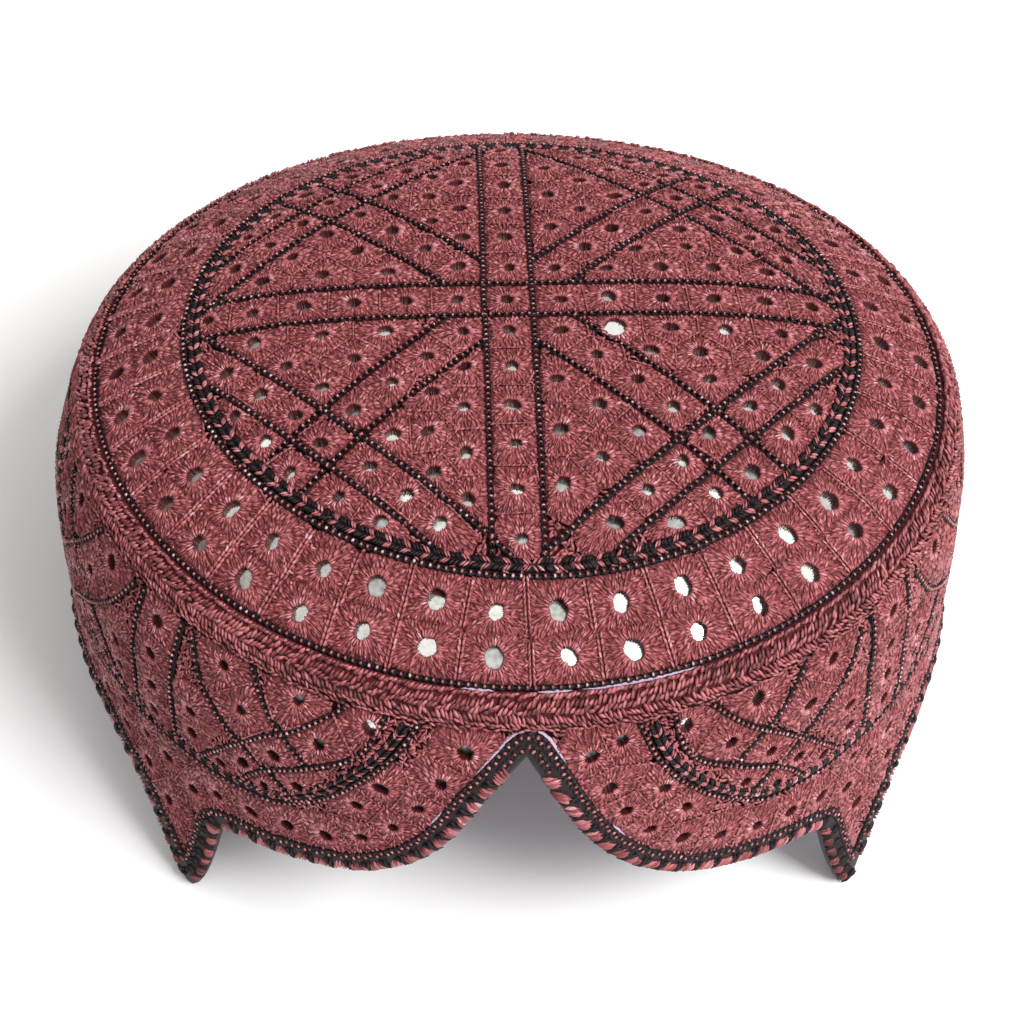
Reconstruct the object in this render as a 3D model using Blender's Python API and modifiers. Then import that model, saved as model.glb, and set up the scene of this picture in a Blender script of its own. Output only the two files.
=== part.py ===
"""A round embroidered cap with an arched front, as it stands by itself on a table.

Metres, +Z up, front towards -Y. The cap is drawn level in its own frame, whose origin is the
middle of the seam between crown and wall. An empty then leans it back onto its two front points
and the back of its rim, which are pressed flat where they meet the table at Z = 0.
Azimuth is counted from the front, positive towards +X.
"""

import math
from bisect import bisect_right
from typing import NamedTuple

import bmesh
import bpy
from mathutils import Matrix, Vector

MM = 0.001
MERGE = 0.001 * MM

# Crown
SEAM_RADIUS = 83.6 * MM
CROWN_RISE = 17.2 * MM
CROWN_POWER = 3.4
CLOTH = 2.6 * MM

# The soft cap is not quite round, its seam sits lower at front and back than at the sides, and its
# rim hangs a little lower at the front right.
OVAL = -0.014
SLANT = 0.012
SADDLE = 2.4 * MM
FOOT_LEAN = -1.9 * MM
RIGHT_DROP = 2.2 * MM
LEAN_FROM = 2.0 * MM
LEAN_DONE = 20.0 * MM

# Seam braid and edge binding
GAP = 0.4 * MM
BRAID_THICKNESS = 3.2 * MM
BINDING_WIDTH = 5.2 * MM
BINDING_THICKNESS = 3.6 * MM
PROUD = 0.5 * MM
INSET_STEPS = 24

# Little mirrors sewn into the cloth: the window left by the stitches, and how deep the glass lies.
WINDOW_RADIUS = 1.75 * MM
WINDOW_SIDES = 6
WINDOW_DEPTH = 0.9 * MM
CUTTER_REACH = 2.0 * MM
NORMAL_STEP = 1.0 * MM

# Crown embroidery, in its own plan: a ring, a cross, four spokes and four chords.
OUTER_ROWS = (71.5 * MM, 78.7 * MM)
OUTER_CELLS = 40
CROSS_PITCH = 9.9 * MM
CROSS_REACH = 6
SPOKE_START = 13.7 * MM
SPOKE_PITCH = 9.4 * MM
SPOKE_MIRRORS = 6
CHORD_DISTANCE = 50.2 * MM
CHORD_REACH = 3
FIELD_OFFSET = 9.2 * MM
FIELD_ROW = 6.9 * MM
FIELD_CENTRE = 36.0 * MM
LENS_DISTANCE = 58.0 * MM
LENS_PLACES = (10.2 * MM, 19.6 * MM)
CROSS_X = -1.5 * MM
CROSS_Y = 0.4 * MM

# Where the cap meets the table, this much of the cloth is pressed flat. The cap's frame stands
# a little off the middle of its footprint, which is at X = Y = 0.
PRESSED = 0.7 * MM
TABLE_SIDE = 400 * MM
TABLE_THICKNESS = 20 * MM
FRAME_X = 1.2 * MM
FRAME_Y = 3.8 * MM

SILK_COLOUR = (0.23, 0.055, 0.065)
BRAID_COLOUR = (0.30, 0.075, 0.085)
EDGING_COLOUR = (0.05, 0.02, 0.025)


class WallRow(NamedTuple):
    """How far the side stands outside the seam line at a depth below it."""

    depth: float
    out: float


class RimRow(NamedTuple):
    """Depth of the rim below the seam at an azimuth in degrees, to either side."""

    azimuth: float
    depth: float


class FieldRows(NamedTuple):
    """A triangle of mirrors between a cross band and a spoke: the count in each row, and their step."""

    counts: tuple
    step: float


BRAID_SECTION = (
    WallRow(0.25 * MM, 0.32 * MM),
    WallRow(1.40 * MM, 1.90 * MM),
    WallRow(3.00 * MM, 3.40 * MM),
    WallRow(5.00 * MM, 4.35 * MM),
)
WALL_SECTION = (
    WallRow(5.4 * MM, 4.5 * MM),
    WallRow(9.0 * MM, 5.95 * MM),
    WallRow(16.0 * MM, 7.8 * MM),
    WallRow(30.0 * MM, 9.1 * MM),
    WallRow(48.0 * MM, 9.6 * MM),
    WallRow(66.0 * MM, 11.8 * MM),
    WallRow(87.0 * MM, 13.8 * MM),
)
RIM = (
    RimRow(0.0, 10.5 * MM),
    RimRow(2.0, 15.2 * MM),
    RimRow(4.0, 20.6 * MM),
    RimRow(7.0, 29.9 * MM),
    RimRow(10.0, 37.2 * MM),
    RimRow(14.0, 43.6 * MM),
    RimRow(20.0, 49.0 * MM),
    RimRow(28.0, 52.2 * MM),
    RimRow(36.5, 54.6 * MM),
    RimRow(39.4, 56.8 * MM),
    RimRow(41.2, 67.0 * MM),
    RimRow(43.2, 77.0 * MM),
    RimRow(45.8, 83.8 * MM),
    RimRow(48.0, 77.4 * MM),
    RimRow(51.0, 69.4 * MM),
    RimRow(56.2, 61.4 * MM),
    RimRow(66.0, 56.4 * MM),
    RimRow(100.0, 56.0 * MM),
    RimRow(150.0, 63.2 * MM),
    RimRow(180.0, 64.0 * MM),
)
POINT_AZIMUTH = 45.8
WIDE_FIELD = FieldRows((4, 3, 1), 10.6 * MM)
NARROW_FIELD = FieldRows((3, 2, 1), 12.6 * MM)
# Columns of the wall in degrees from the front: (end of the span, step inside it).
COLUMN_SPANS = ((12.0, 1.5), (38.0, 3.6), (53.0, 0.85), (66.0, 4.2), (180.0, 8.3))
# Rows of the wall: one just under the braid, the rest at shares of the height that is left.
FIRST_ROW = 1.8 * MM
WALL_ROWS = (0.0, 0.22, 0.58, 1.0)
CROWN_RINGS = (0.0, 16.0, 32.0, 46.0, 58.0, 67.0, 74.5, 80.0)
CROWN_COLUMNS = 40


def smooth_through(rows, x):
    """Value at x of a curve through (place, value) rows that never swings past its neighbours."""
    places = [row[0] for row in rows]
    values = [row[1] for row in rows]
    x = min(max(x, places[0]), places[-1])
    i = min(max(bisect_right(places, x) - 1, 0), len(rows) - 2)
    rises = [(values[k + 1] - values[k]) / (places[k + 1] - places[k]) for k in range(len(rows) - 1)]

    def slope(k):
        if k == 0:
            return rises[0]
        if k == len(rows) - 1:
            return rises[-1]
        before, after = rises[k - 1], rises[k]
        return 0.0 if before * after <= 0 else 2 * before * after / (before + after)

    span = places[i + 1] - places[i]
    t = (x - places[i]) / span
    rise = values[i + 1] - values[i]
    start, end = slope(i) * span, slope(i + 1) * span
    return values[i] + t * start + t * t * (3 * rise - 2 * start - end) + t**3 * (start + end - 2 * rise)


def rim_depth(azimuth):
    drop = RIGHT_DROP * math.sin(2 * azimuth) ** 2 if 0 < azimuth < math.pi / 2 else 0.0
    return smooth_through(RIM, math.degrees(abs(azimuth))) + drop


def inset_rim_depth(azimuth, inset):
    """Depth of the line that runs a set distance inside the rim, measured over the cloth."""
    radius = SEAM_RADIUS + WALL_SECTION[-2].out
    reach = inset / radius
    found = []
    for step in range(-INSET_STEPS, INSET_STEPS + 1):
        across = step / INSET_STEPS
        other = math.remainder(azimuth + across * reach, math.tau)
        found.append(rim_depth(other) - inset * math.sqrt(1 - across * across))
    return min(found)


def swell(azimuth):
    return 1 + OVAL * math.cos(2 * azimuth) + SLANT * math.sin(2 * azimuth)


def crown_point(radius, azimuth):
    """A point of the crown's outer face in the cap's frame."""
    share = radius / SEAM_RADIUS
    height = CROWN_RISE * (1 - share**CROWN_POWER)
    height -= SADDLE * math.cos(2 * azimuth) * share**2
    reach = radius * swell(azimuth)
    return Vector((reach * math.sin(azimuth), -reach * math.cos(azimuth), height))


def side_point(depth, out, azimuth):
    """A point this far below and outside the seam line, in the cap's frame."""
    reach = (SEAM_RADIUS + out) * swell(azimuth)
    lean = FOOT_LEAN * min(1.0, max(0.0, depth - LEAN_FROM) / (LEAN_DONE - LEAN_FROM))
    x = reach * math.sin(azimuth) + lean
    return Vector((x, -reach * math.cos(azimuth), -depth - SADDLE * math.cos(2 * azimuth)))


def wall_point(depth, azimuth):
    return side_point(depth, smooth_through(WALL_SECTION, depth), azimuth)


def wall_columns():
    """Azimuths of the wall's columns, close together at the front arch and the points."""
    half = []
    start = 0.0
    for end, step in COLUMN_SPANS:
        count = max(1, round((end - start) / step))
        half += [start + (end - start) * k / count for k in range(count)]
        start = end
    degrees = [-a for a in reversed(half[1:])] + half + [180.0]
    return [math.radians(a) for a in degrees]


def sheet_object(name, columns, rows, place):
    """An open sheet round the cap: a grid whose vertex (column, row) is moved to place(column, row)."""
    mesh = bpy.data.meshes.new(name)
    bm = bmesh.new()
    bmesh.ops.create_grid(bm, x_segments=columns, y_segments=rows, size=1.0)
    for vertex in bm.verts:
        column = round((vertex.co.x + 1) / 2 * columns)
        row = round((vertex.co.y + 1) / 2 * rows)
        vertex.co = place(column % columns, row)
    bmesh.ops.remove_doubles(bm, verts=bm.verts, dist=MERGE)
    if sum(face.normal.dot(face.calc_center_median()) * face.calc_area() for face in bm.faces) < 0:
        bmesh.ops.reverse_faces(bm, faces=bm.faces)
    bm.to_mesh(mesh)
    bm.free()
    mesh.shade_smooth()
    return bpy.data.objects.new(name, mesh)


def thicken(obj, thickness, proud=0.0):
    """Cloth thickness inwards, with some of it standing proud of the drawn face."""
    wall = obj.modifiers.new("cloth", "SOLIDIFY")
    wall.thickness = thickness
    wall.offset = -(thickness - 2 * proud) / thickness
    wall.use_even_offset = True


def make_crown():
    rings = [r * MM for r in CROWN_RINGS] + [SEAM_RADIUS]

    def place(column, row):
        return crown_point(rings[row], math.tau * column / CROWN_COLUMNS)

    crown = sheet_object("crown", CROWN_COLUMNS, len(rings) - 1, place)
    thicken(crown, CLOTH)
    return crown


def make_seam_braid():
    def place(column, row):
        section = BRAID_SECTION[row]
        return side_point(section.depth, section.out, math.tau * column / CROWN_COLUMNS)

    braid = sheet_object("seam_braid", CROWN_COLUMNS, len(BRAID_SECTION) - 1, place)
    thicken(braid, BRAID_THICKNESS, PROUD)
    return braid


def make_side_wall(columns):
    top = WALL_SECTION[0].depth
    edges = [inset_rim_depth(a, BINDING_WIDTH + GAP) for a in columns]

    def place(column, row):
        height = edges[column] - top
        first = min(FIRST_ROW, 0.4 * height)
        depth = top if row == 0 else top + first + (height - first) * WALL_ROWS[row - 1]
        return wall_point(depth, columns[column])

    wall = sheet_object("side_wall", len(columns), len(WALL_ROWS), place)
    thicken(wall, CLOTH)
    return wall


def make_edge_binding(columns):
    inner = [inset_rim_depth(a, BINDING_WIDTH) for a in columns]
    outer = [rim_depth(a) for a in columns]

    def place(column, row):
        return wall_point(outer[column] if row else inner[column], columns[column])

    binding = sheet_object("edge_binding", len(columns), 1, place)
    thicken(binding, BINDING_THICKNESS, PROUD)
    return binding


def field_places(rows):
    """Mirrors of one triangle, as (along the cross band, away from it)."""
    for row, count in enumerate(rows.counts):
        away = FIELD_OFFSET + FIELD_ROW * row
        for k in range(count):
            yield FIELD_CENTRE + (k - (count - 1) / 2) * rows.step, away


def crown_mirrors():
    """Places of the crown's mirrors, as (x, y) in the plan of its embroidery."""
    for radius in OUTER_ROWS:
        for cell in range(OUTER_CELLS):
            azimuth = math.tau * (cell + 0.5) / OUTER_CELLS
            yield radius * math.sin(azimuth), -radius * math.cos(azimuth)
    for k in range(-CROSS_REACH, CROSS_REACH + 1):
        yield CROSS_X + k * CROSS_PITCH, CROSS_Y
        if k:
            yield CROSS_X, CROSS_Y + k * CROSS_PITCH
    half = math.sqrt(0.5)
    for right in (-1, 1):
        for back in (-1, 1):
            for k in range(SPOKE_MIRRORS):
                reach = (SPOKE_START + k * SPOKE_PITCH) * half
                yield CROSS_X + right * reach, CROSS_Y + back * reach
            for k in range(-CHORD_REACH, CHORD_REACH + 1):
                if k:
                    along = k * SPOKE_PITCH
                    yield right * (CHORD_DISTANCE + along) * half, back * (CHORD_DISTANCE - along) * half
            for along in LENS_PLACES:
                for side in (-along, along):
                    yield right * (LENS_DISTANCE + side) * half, back * (LENS_DISTANCE - side) * half
            beside_row = NARROW_FIELD if right < 0 else WIDE_FIELD
            beside_column = WIDE_FIELD if right < 0 else NARROW_FIELD
            for along, away in field_places(beside_row):
                yield CROSS_X + right * along, CROSS_Y + back * away
            for along, away in field_places(beside_column):
                yield CROSS_X + right * away, CROSS_Y + back * along


def window_cutter(places):
    """One mesh of short prisms, each standing square to the crown where a mirror lies."""
    mesh = bpy.data.meshes.new("mirror_windows")
    bm = bmesh.new()
    for x, y in places:
        radius, azimuth = math.hypot(x, y), math.atan2(x, -y)
        point = crown_point(radius, azimuth)
        across = crown_point(radius, azimuth + NORMAL_STEP / max(radius, NORMAL_STEP)) - point
        outward = crown_point(radius + NORMAL_STEP, azimuth) - point
        normal = across.cross(outward).normalized()
        if normal.z < 0:
            normal.negate()
        turn = normal.to_track_quat("Z", "Y").to_matrix().to_4x4()
        height = WINDOW_DEPTH + CUTTER_REACH
        middle = point + normal * (height / 2 - WINDOW_DEPTH)
        bmesh.ops.create_cone(
            bm,
            cap_ends=True,
            segments=WINDOW_SIDES,
            radius1=WINDOW_RADIUS,
            radius2=WINDOW_RADIUS,
            depth=height,
            matrix=Matrix.Translation(middle) @ turn,
        )
    bm.to_mesh(mesh)
    bm.free()
    return bpy.data.objects.new("mirror_windows", mesh)


def cut(obj, cutter, name):
    tool = obj.modifiers.new(name, "BOOLEAN")
    tool.operation = "DIFFERENCE"
    tool.solver = "EXACT"
    tool.object = cutter


def finish(name, colour, roughness):
    material = bpy.data.materials.new(name)
    material.use_nodes = True
    shader = material.node_tree.nodes["Principled BSDF"]
    shader.inputs["Base Color"].default_value = (*colour, 1.0)
    shader.inputs["Roughness"].default_value = roughness
    shader.inputs["Metallic"].default_value = 0.0
    return material


def standing_pose():
    """The turn and lift that put both front points and the back of the rim on the table."""
    azimuths = (math.radians(-POINT_AZIMUTH), math.radians(POINT_AZIMUTH), math.pi)
    left, right, back = (wall_point(rim_depth(azimuth), azimuth) for azimuth in azimuths)
    upward = (right - left).cross(back - left).normalized()
    turn = upward.rotation_difference(Vector((0.0, 0.0, 1.0))).to_matrix()
    lift = -(turn @ left).z - PRESSED
    return Matrix.Translation((FRAME_X, FRAME_Y, lift)) @ turn.to_4x4()


def main():
    for obj in list(bpy.data.objects):
        bpy.data.objects.remove(obj, do_unlink=True)
    parts = bpy.data.collections.new("sindhi_cap")
    cutters = bpy.data.collections.new("cutters")
    bpy.context.scene.collection.children.link(parts)
    bpy.context.scene.collection.children.link(cutters)

    cap = bpy.data.objects.new("cap_frame", None)
    cap.matrix_world = standing_pose()
    parts.objects.link(cap)

    columns = wall_columns()
    silk = finish("rose_silk", SILK_COLOUR, 0.6)
    braid_silk = finish("rose_braid", BRAID_COLOUR, 0.55)
    edging = finish("black_and_rose_edging", EDGING_COLOUR, 0.6)
    crown = make_crown()
    pieces = (
        (crown, silk),
        (make_seam_braid(), braid_silk),
        (make_side_wall(columns), silk),
        (make_edge_binding(columns), edging),
    )
    for piece, material in pieces:
        piece.data.materials.append(material)
        piece.parent = cap
        parts.objects.link(piece)

    windows = window_cutter(crown_mirrors())
    windows.parent = cap
    cut(crown, windows, "mirror windows")

    bpy.ops.mesh.primitive_cube_add(size=1.0)
    table = bpy.context.object
    table.name = "table"
    table.dimensions = (TABLE_SIDE, TABLE_SIDE, TABLE_THICKNESS)
    table.location.z = -TABLE_THICKNESS / 2
    for holder in table.users_collection:
        holder.objects.unlink(table)
    cut(pieces[-1][0], table, "pressed flat")
    for helper in (windows, table):
        helper.hide_render = True
        helper.display_type = "WIRE"
        cutters.objects.link(helper)


main()
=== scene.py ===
"""The looks of a round embroidered cap with an arched front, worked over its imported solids.

Metres, +Z up, front towards -Y. Each face of the cap is laid out flat as spots: the crown in its
plan, and the side as (length round from the front, depth below the seam). A face turns a spot and
a lift into a point, and everything that is sewn on the cap is laid out in spots.
"""

import logging
import math
import random
from bisect import bisect_right
from dataclasses import dataclass, field
from enum import Enum
from typing import Iterable, NamedTuple, Sequence

import bmesh
import bpy
from mathutils import Matrix, Vector


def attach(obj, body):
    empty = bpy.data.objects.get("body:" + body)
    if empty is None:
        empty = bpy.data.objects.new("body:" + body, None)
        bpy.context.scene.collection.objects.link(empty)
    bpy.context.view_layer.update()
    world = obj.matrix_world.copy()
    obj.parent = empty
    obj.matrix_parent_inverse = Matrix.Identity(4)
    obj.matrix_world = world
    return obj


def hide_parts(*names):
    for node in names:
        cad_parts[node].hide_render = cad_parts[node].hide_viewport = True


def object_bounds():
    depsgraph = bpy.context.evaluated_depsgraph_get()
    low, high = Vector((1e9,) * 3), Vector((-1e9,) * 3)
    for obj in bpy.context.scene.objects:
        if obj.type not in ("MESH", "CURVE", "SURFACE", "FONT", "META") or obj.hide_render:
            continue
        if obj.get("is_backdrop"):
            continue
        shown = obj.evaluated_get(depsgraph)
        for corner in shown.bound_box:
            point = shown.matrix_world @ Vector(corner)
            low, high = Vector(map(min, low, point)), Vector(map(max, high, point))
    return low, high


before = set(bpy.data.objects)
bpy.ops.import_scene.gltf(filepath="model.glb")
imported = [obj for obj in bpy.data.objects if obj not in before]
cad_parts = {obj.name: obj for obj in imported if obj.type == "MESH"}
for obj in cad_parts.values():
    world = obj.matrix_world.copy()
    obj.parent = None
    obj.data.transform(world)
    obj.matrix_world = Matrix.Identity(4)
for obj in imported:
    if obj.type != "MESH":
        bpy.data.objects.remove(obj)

CAD_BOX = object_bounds()
LOG = logging.getLogger("cap")
MM = 0.001
DEGREE = math.pi / 180
SEED = 11
LARGE = 3

Colour = tuple[float, float, float]
Path = list[Vector]


def spot(along: float, down: float) -> Vector:
    """A place on a face that is laid out flat."""
    return Vector((along, down))


class SectionRow(NamedTuple):
    """How far the side stands outside the seam line at a depth below it."""

    depth: float
    out: float


class RimRow(NamedTuple):
    """Depth of the rim below the seam at an azimuth in degrees, the same on both sides."""

    azimuth: float
    depth: float


class Slot(Enum):
    """Material slots of the record."""

    SILK = "silk_cloth"
    BRAID = "braid_thread"
    EDGING = "edging_thread"
    BLACK = "black_thread"
    GLASS = "mirror_glass"


class SmoothCurve:
    """A curve through (place, value) rows that never swings past its neighbours."""

    def __init__(self, rows: Sequence[tuple[float, float]]) -> None:
        """Works out the slope at each row.

        Args:
            rows: Places in rising order, each with its value.
        """
        self.places = [row[0] for row in rows]
        self.values = [row[1] for row in rows]
        rises = [
            (self.values[k + 1] - self.values[k]) / (self.places[k + 1] - self.places[k])
            for k in range(len(rows) - 1)
        ]
        self.slopes = [rises[0]]
        for before, after in zip(rises, rises[1:]):
            self.slopes.append(0.0 if before * after <= 0 else 2 * before * after / (before + after))
        self.slopes.append(rises[-1])

    def at(self, place: float) -> float:
        """Value of the curve, held level past both ends."""
        place = min(max(place, self.places[0]), self.places[-1])
        k = min(max(bisect_right(self.places, place) - 1, 0), len(self.places) - 2)
        span = self.places[k + 1] - self.places[k]
        t = (place - self.places[k]) / span
        rise = self.values[k + 1] - self.values[k]
        start, end = self.slopes[k] * span, self.slopes[k + 1] * span
        bend = t * t * (3 * rise - 2 * start - end) + t**3 * (start + end - 2 * rise)
        return self.values[k] + t * start + bend


WALL_SECTION = SmoothCurve(
    [
        SectionRow(depth * MM, out * MM)
        for depth, out in (
            (0.25, 0.32), (1.4, 1.9), (3.0, 3.4), (5.4, 4.5), (9.0, 5.95), (16.0, 7.8), (30.0, 9.1),
            (48.0, 9.6), (66.0, 11.8), (87.0, 13.8),
        )
    ]
)
RIM = SmoothCurve(
    [
        RimRow(azimuth, depth * MM)
        for azimuth, depth in (
            (0.0, 10.5), (2.0, 15.2), (4.0, 20.6), (7.0, 29.9), (10.0, 37.2), (14.0, 43.6), (20.0, 49.0),
            (28.0, 52.2), (36.5, 54.6), (39.4, 56.8), (41.2, 67.0), (43.2, 77.0), (45.8, 83.8),
            (48.0, 77.4), (51.0, 69.4), (56.2, 61.4), (66.0, 56.4), (100.0, 56.0), (150.0, 63.2),
            (180.0, 64.0),
        )
    ]
)


@dataclass(frozen=True)
class CapShape:
    """The cap's cloth as its solids have it, in its own level frame, and how it stands."""

    seam_radius: float = 83.6 * MM
    crown_rise: float = 17.2 * MM
    crown_power: float = 3.4
    oval: float = -0.014
    slant: float = 0.012
    saddle: float = 2.4 * MM
    foot_lean: float = -1.9 * MM
    right_drop: float = 2.2 * MM
    lean_from: float = 2.0 * MM
    lean_done: float = 20.0 * MM
    cloth: float = 2.6 * MM
    binding_width: float = 5.2 * MM
    inset_steps: int = 24
    point_azimuth: float = 45.8 * DEGREE
    pressed: float = 0.7 * MM
    middle: tuple[float, float] = (1.2 * MM, 3.8 * MM)

    def swell(self, azimuth: float) -> float:
        """How much further out than a circle the cap reaches there."""
        return 1 + self.oval * math.cos(2 * azimuth) + self.slant * math.sin(2 * azimuth)

    def crown_point(self, radius: float, azimuth: float) -> Vector:
        """A point of the crown's outer face."""
        share = radius / self.seam_radius
        height = self.crown_rise * (1 - share**self.crown_power)
        height -= self.saddle * math.cos(2 * azimuth) * share**2
        reach = radius * self.swell(azimuth)
        return Vector((reach * math.sin(azimuth), -reach * math.cos(azimuth), height))

    def side_point(self, depth: float, azimuth: float) -> Vector:
        """A point of the side's outer face, this far below the seam line."""
        reach = (self.seam_radius + WALL_SECTION.at(depth)) * self.swell(azimuth)
        share = max(0.0, depth - self.lean_from) / (self.lean_done - self.lean_from)
        x = reach * math.sin(azimuth) + self.foot_lean * min(1.0, share)
        height = -depth - self.saddle * math.cos(2 * azimuth)
        return Vector((x, -reach * math.cos(azimuth), height))

    def rim_depth(self, azimuth: float) -> float:
        """Depth of the cloth's edge, which hangs a little lower at the front right."""
        azimuth = math.remainder(azimuth, math.tau)
        drop = self.right_drop * math.sin(2 * azimuth) ** 2 if 0 < azimuth < math.pi / 2 else 0.0
        return RIM.at(abs(azimuth) / DEGREE) + drop

    def inset_depth(self, azimuth: float, inset: float) -> float:
        """Depth of the line that runs a set distance inside the rim, over the cloth.

        Args:
            azimuth: Direction from the cap's middle, from the front.
            inset: Distance from the rim.

        Returns:
            The smallest depth that a circle of that size leaves, as it rolls along the rim.
        """
        reach = inset / (self.seam_radius + WALL_SECTION.values[-2])
        found = []
        for step in range(-self.inset_steps, self.inset_steps + 1):
            across = step / self.inset_steps
            depth = self.rim_depth(azimuth + across * reach)
            found.append(depth - inset * math.sqrt(1 - across * across))
        return min(found)

    def stand(self) -> Matrix:
        """The turn and lift that stand the cap on its two points and the back of its rim."""
        azimuths = (-self.point_azimuth, self.point_azimuth, math.pi)
        left, right, back = (self.side_point(self.rim_depth(turn), turn) for turn in azimuths)
        upward = (right - left).cross(back - left).normalized()
        turn = upward.rotation_difference(Vector((0.0, 0.0, 1.0))).to_matrix()
        lift = -(turn @ left).z - self.pressed
        return Matrix.Translation((*self.middle, lift)) @ turn.to_4x4()


CAP = CapShape()
STAND = CAP.stand()


class Face:
    """A side of the cap, laid out flat, that embroidery lies on."""

    probe: float = 0.4 * MM

    def point(self, place: Vector) -> Vector:
        """The point of the bare face at a spot, in the cap's own frame."""
        raise NotImplementedError

    def up(self, place: Vector) -> Vector:
        """Which way the face looks there, in the world."""
        here = self.point(place)
        along = self.point(place + spot(self.probe, 0)) - here
        down = self.point(place + spot(0, self.probe)) - here
        return (STAND.to_3x3() @ self.outward(along, down)).normalized()

    def outward(self, along: Vector, down: Vector) -> Vector:
        """The outward direction from the two directions in which spots are counted."""
        return along.cross(down)

    def place(self, place: Vector, lift: float = 0.0) -> Vector:
        """The point this far above the face at a spot, in the world."""
        point = STAND @ self.point(place)
        return point + self.up(place) * lift if lift else point


class CrownFace(Face):
    """The top, in plan: +X to the right and +Y to the back, from the middle of its pattern."""

    def point(self, place: Vector) -> Vector:
        """The point of the bare face at a spot, in the cap's own frame."""
        return CAP.crown_point(place.length, math.atan2(place.x, -place.y))


class WallFace(Face):
    """The side, unrolled at the radius of its middle, with depth counted down from the seam."""

    radius: float = 92.0 * MM

    def point(self, place: Vector) -> Vector:
        """The point of the bare face at a spot, in the cap's own frame."""
        return CAP.side_point(place.y, place.x / self.radius)

    def outward(self, along: Vector, down: Vector) -> Vector:
        """The outward direction: depth runs down, so the turn is the other way round."""
        return down.cross(along)

    def at(self, azimuth: float, depth: float) -> Vector:
        """The spot at an azimuth in degrees and a depth."""
        return spot(azimuth * DEGREE * self.radius, depth)

    def level(self, depth: float, count: int) -> Path:
        """A line at one depth, once round."""
        return [self.at(360 * (k / count - 0.5), depth) for k in range(count + 1)]

    def rim_path(self, inset: float, step: float = 1.0) -> Path:
        """A line this far inside the rim, once round in steps of some degrees."""
        count = round(360 / step)
        turns = [(-180 + 360 * k / count) * DEGREE for k in range(count + 1)]
        return [spot(turn * self.radius, CAP.inset_depth(turn, inset)) for turn in turns]


CROWN = CrownFace()
WALL = WallFace()


def walk(path: Sequence[Vector], pitch: float) -> list[tuple[Vector, Vector]]:
    """Evenly spaced places along a path.

    Args:
        path: Points or spots joined by straight runs.
        pitch: The step wanted, which is stretched a little to fit the length.

    Returns:
        The middle of each step, with the direction of the path there.
    """
    lengths = [0.0]
    for a, b in zip(path, path[1:]):
        lengths.append(lengths[-1] + (b - a).length)
    count = max(1, round(lengths[-1] / pitch))
    found = []
    for k in range(count):
        at = (k + 0.5) * lengths[-1] / count
        i = min(max(bisect_right(lengths, at) - 1, 0), len(path) - 2)
        run = path[i + 1] - path[i]
        share = (at - lengths[i]) / max(lengths[i + 1] - lengths[i], 1e-9)
        found.append((path[i] + run * share, run.normalized()))
    return found


def smooth_path(points: Sequence[Vector], step: float = 2.0 * MM) -> Path:
    """A smooth path through a few points, as a run of short straight steps."""
    if len(points) < 3:
        return list(points)
    lengths = [0.0]
    for a, b in zip(points, points[1:]):
        lengths.append(lengths[-1] + (b - a).length)
    curves = [SmoothCurve([(at, point[k]) for at, point in zip(lengths, points)]) for k in range(2)]
    count = max(2, round(lengths[-1] / step))
    return [spot(*(curve.at(lengths[-1] * k / count) for curve in curves)) for k in range(count + 1)]


def arc(radius: float, start: float, end: float, step: float = 3.0) -> Path:
    """A circle's arc about the crown's middle, from one azimuth in degrees to another."""
    count = max(2, round(abs(end - start) / step))
    turns = [(start + (end - start) * k / count) * DEGREE for k in range(count + 1)]
    return [spot(radius * math.sin(turn), -radius * math.cos(turn)) for turn in turns]


def ray_at(angle: float) -> Vector:
    """The spot direction at an angle."""
    return spot(math.cos(angle), math.sin(angle))


def sideways(direction: Vector) -> Vector:
    """The spot direction square to another one."""
    return spot(-direction.y, direction.x)


class Socket:
    """An output of a node, so that an expression on values adds its Math nodes."""

    def __init__(self, graph: "Graph", socket: bpy.types.NodeSocket) -> None:
        """Keeps the socket and the tree that it is in."""
        self.graph = graph
        self.socket = socket

    def maths(self, operation: str, *values: "Socket | float") -> "Socket":
        """A Math node's result on these values."""
        sockets = dict(enumerate(values))
        return self.graph.node("ShaderNodeMath", {"operation": operation}, sockets).out(0)

    def __add__(self, other: "Socket | float") -> "Socket":
        """The sum."""
        return self.maths("ADD", self, other)

    __radd__ = __add__

    def __mul__(self, other: "Socket | float") -> "Socket":
        """The product."""
        return self.maths("MULTIPLY", self, other)

    __rmul__ = __mul__

    def __sub__(self, other: "Socket | float") -> "Socket":
        """The difference."""
        return self.maths("SUBTRACT", self, other)

    def __rsub__(self, other: "Socket | float") -> "Socket":
        """The difference from a number."""
        return self.maths("SUBTRACT", other, self)

    def __pow__(self, other: float) -> "Socket":
        """The power."""
        return self.maths("POWER", self, other)

    def clamped(self) -> "Socket":
        """The value held between nought and one."""
        return self.maths("MINIMUM", self.maths("MAXIMUM", self, 0.0), 1.0)


class Made:
    """A node that has just been made."""

    def __init__(self, graph: "Graph", node: bpy.types.Node) -> None:
        """Keeps the node and its tree."""
        self.graph = graph
        self.node = node

    def out(self, name: "str | int" = 0) -> Socket:
        """One of its outputs, by name or place."""
        return Socket(self.graph, self.node.outputs[name])


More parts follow.
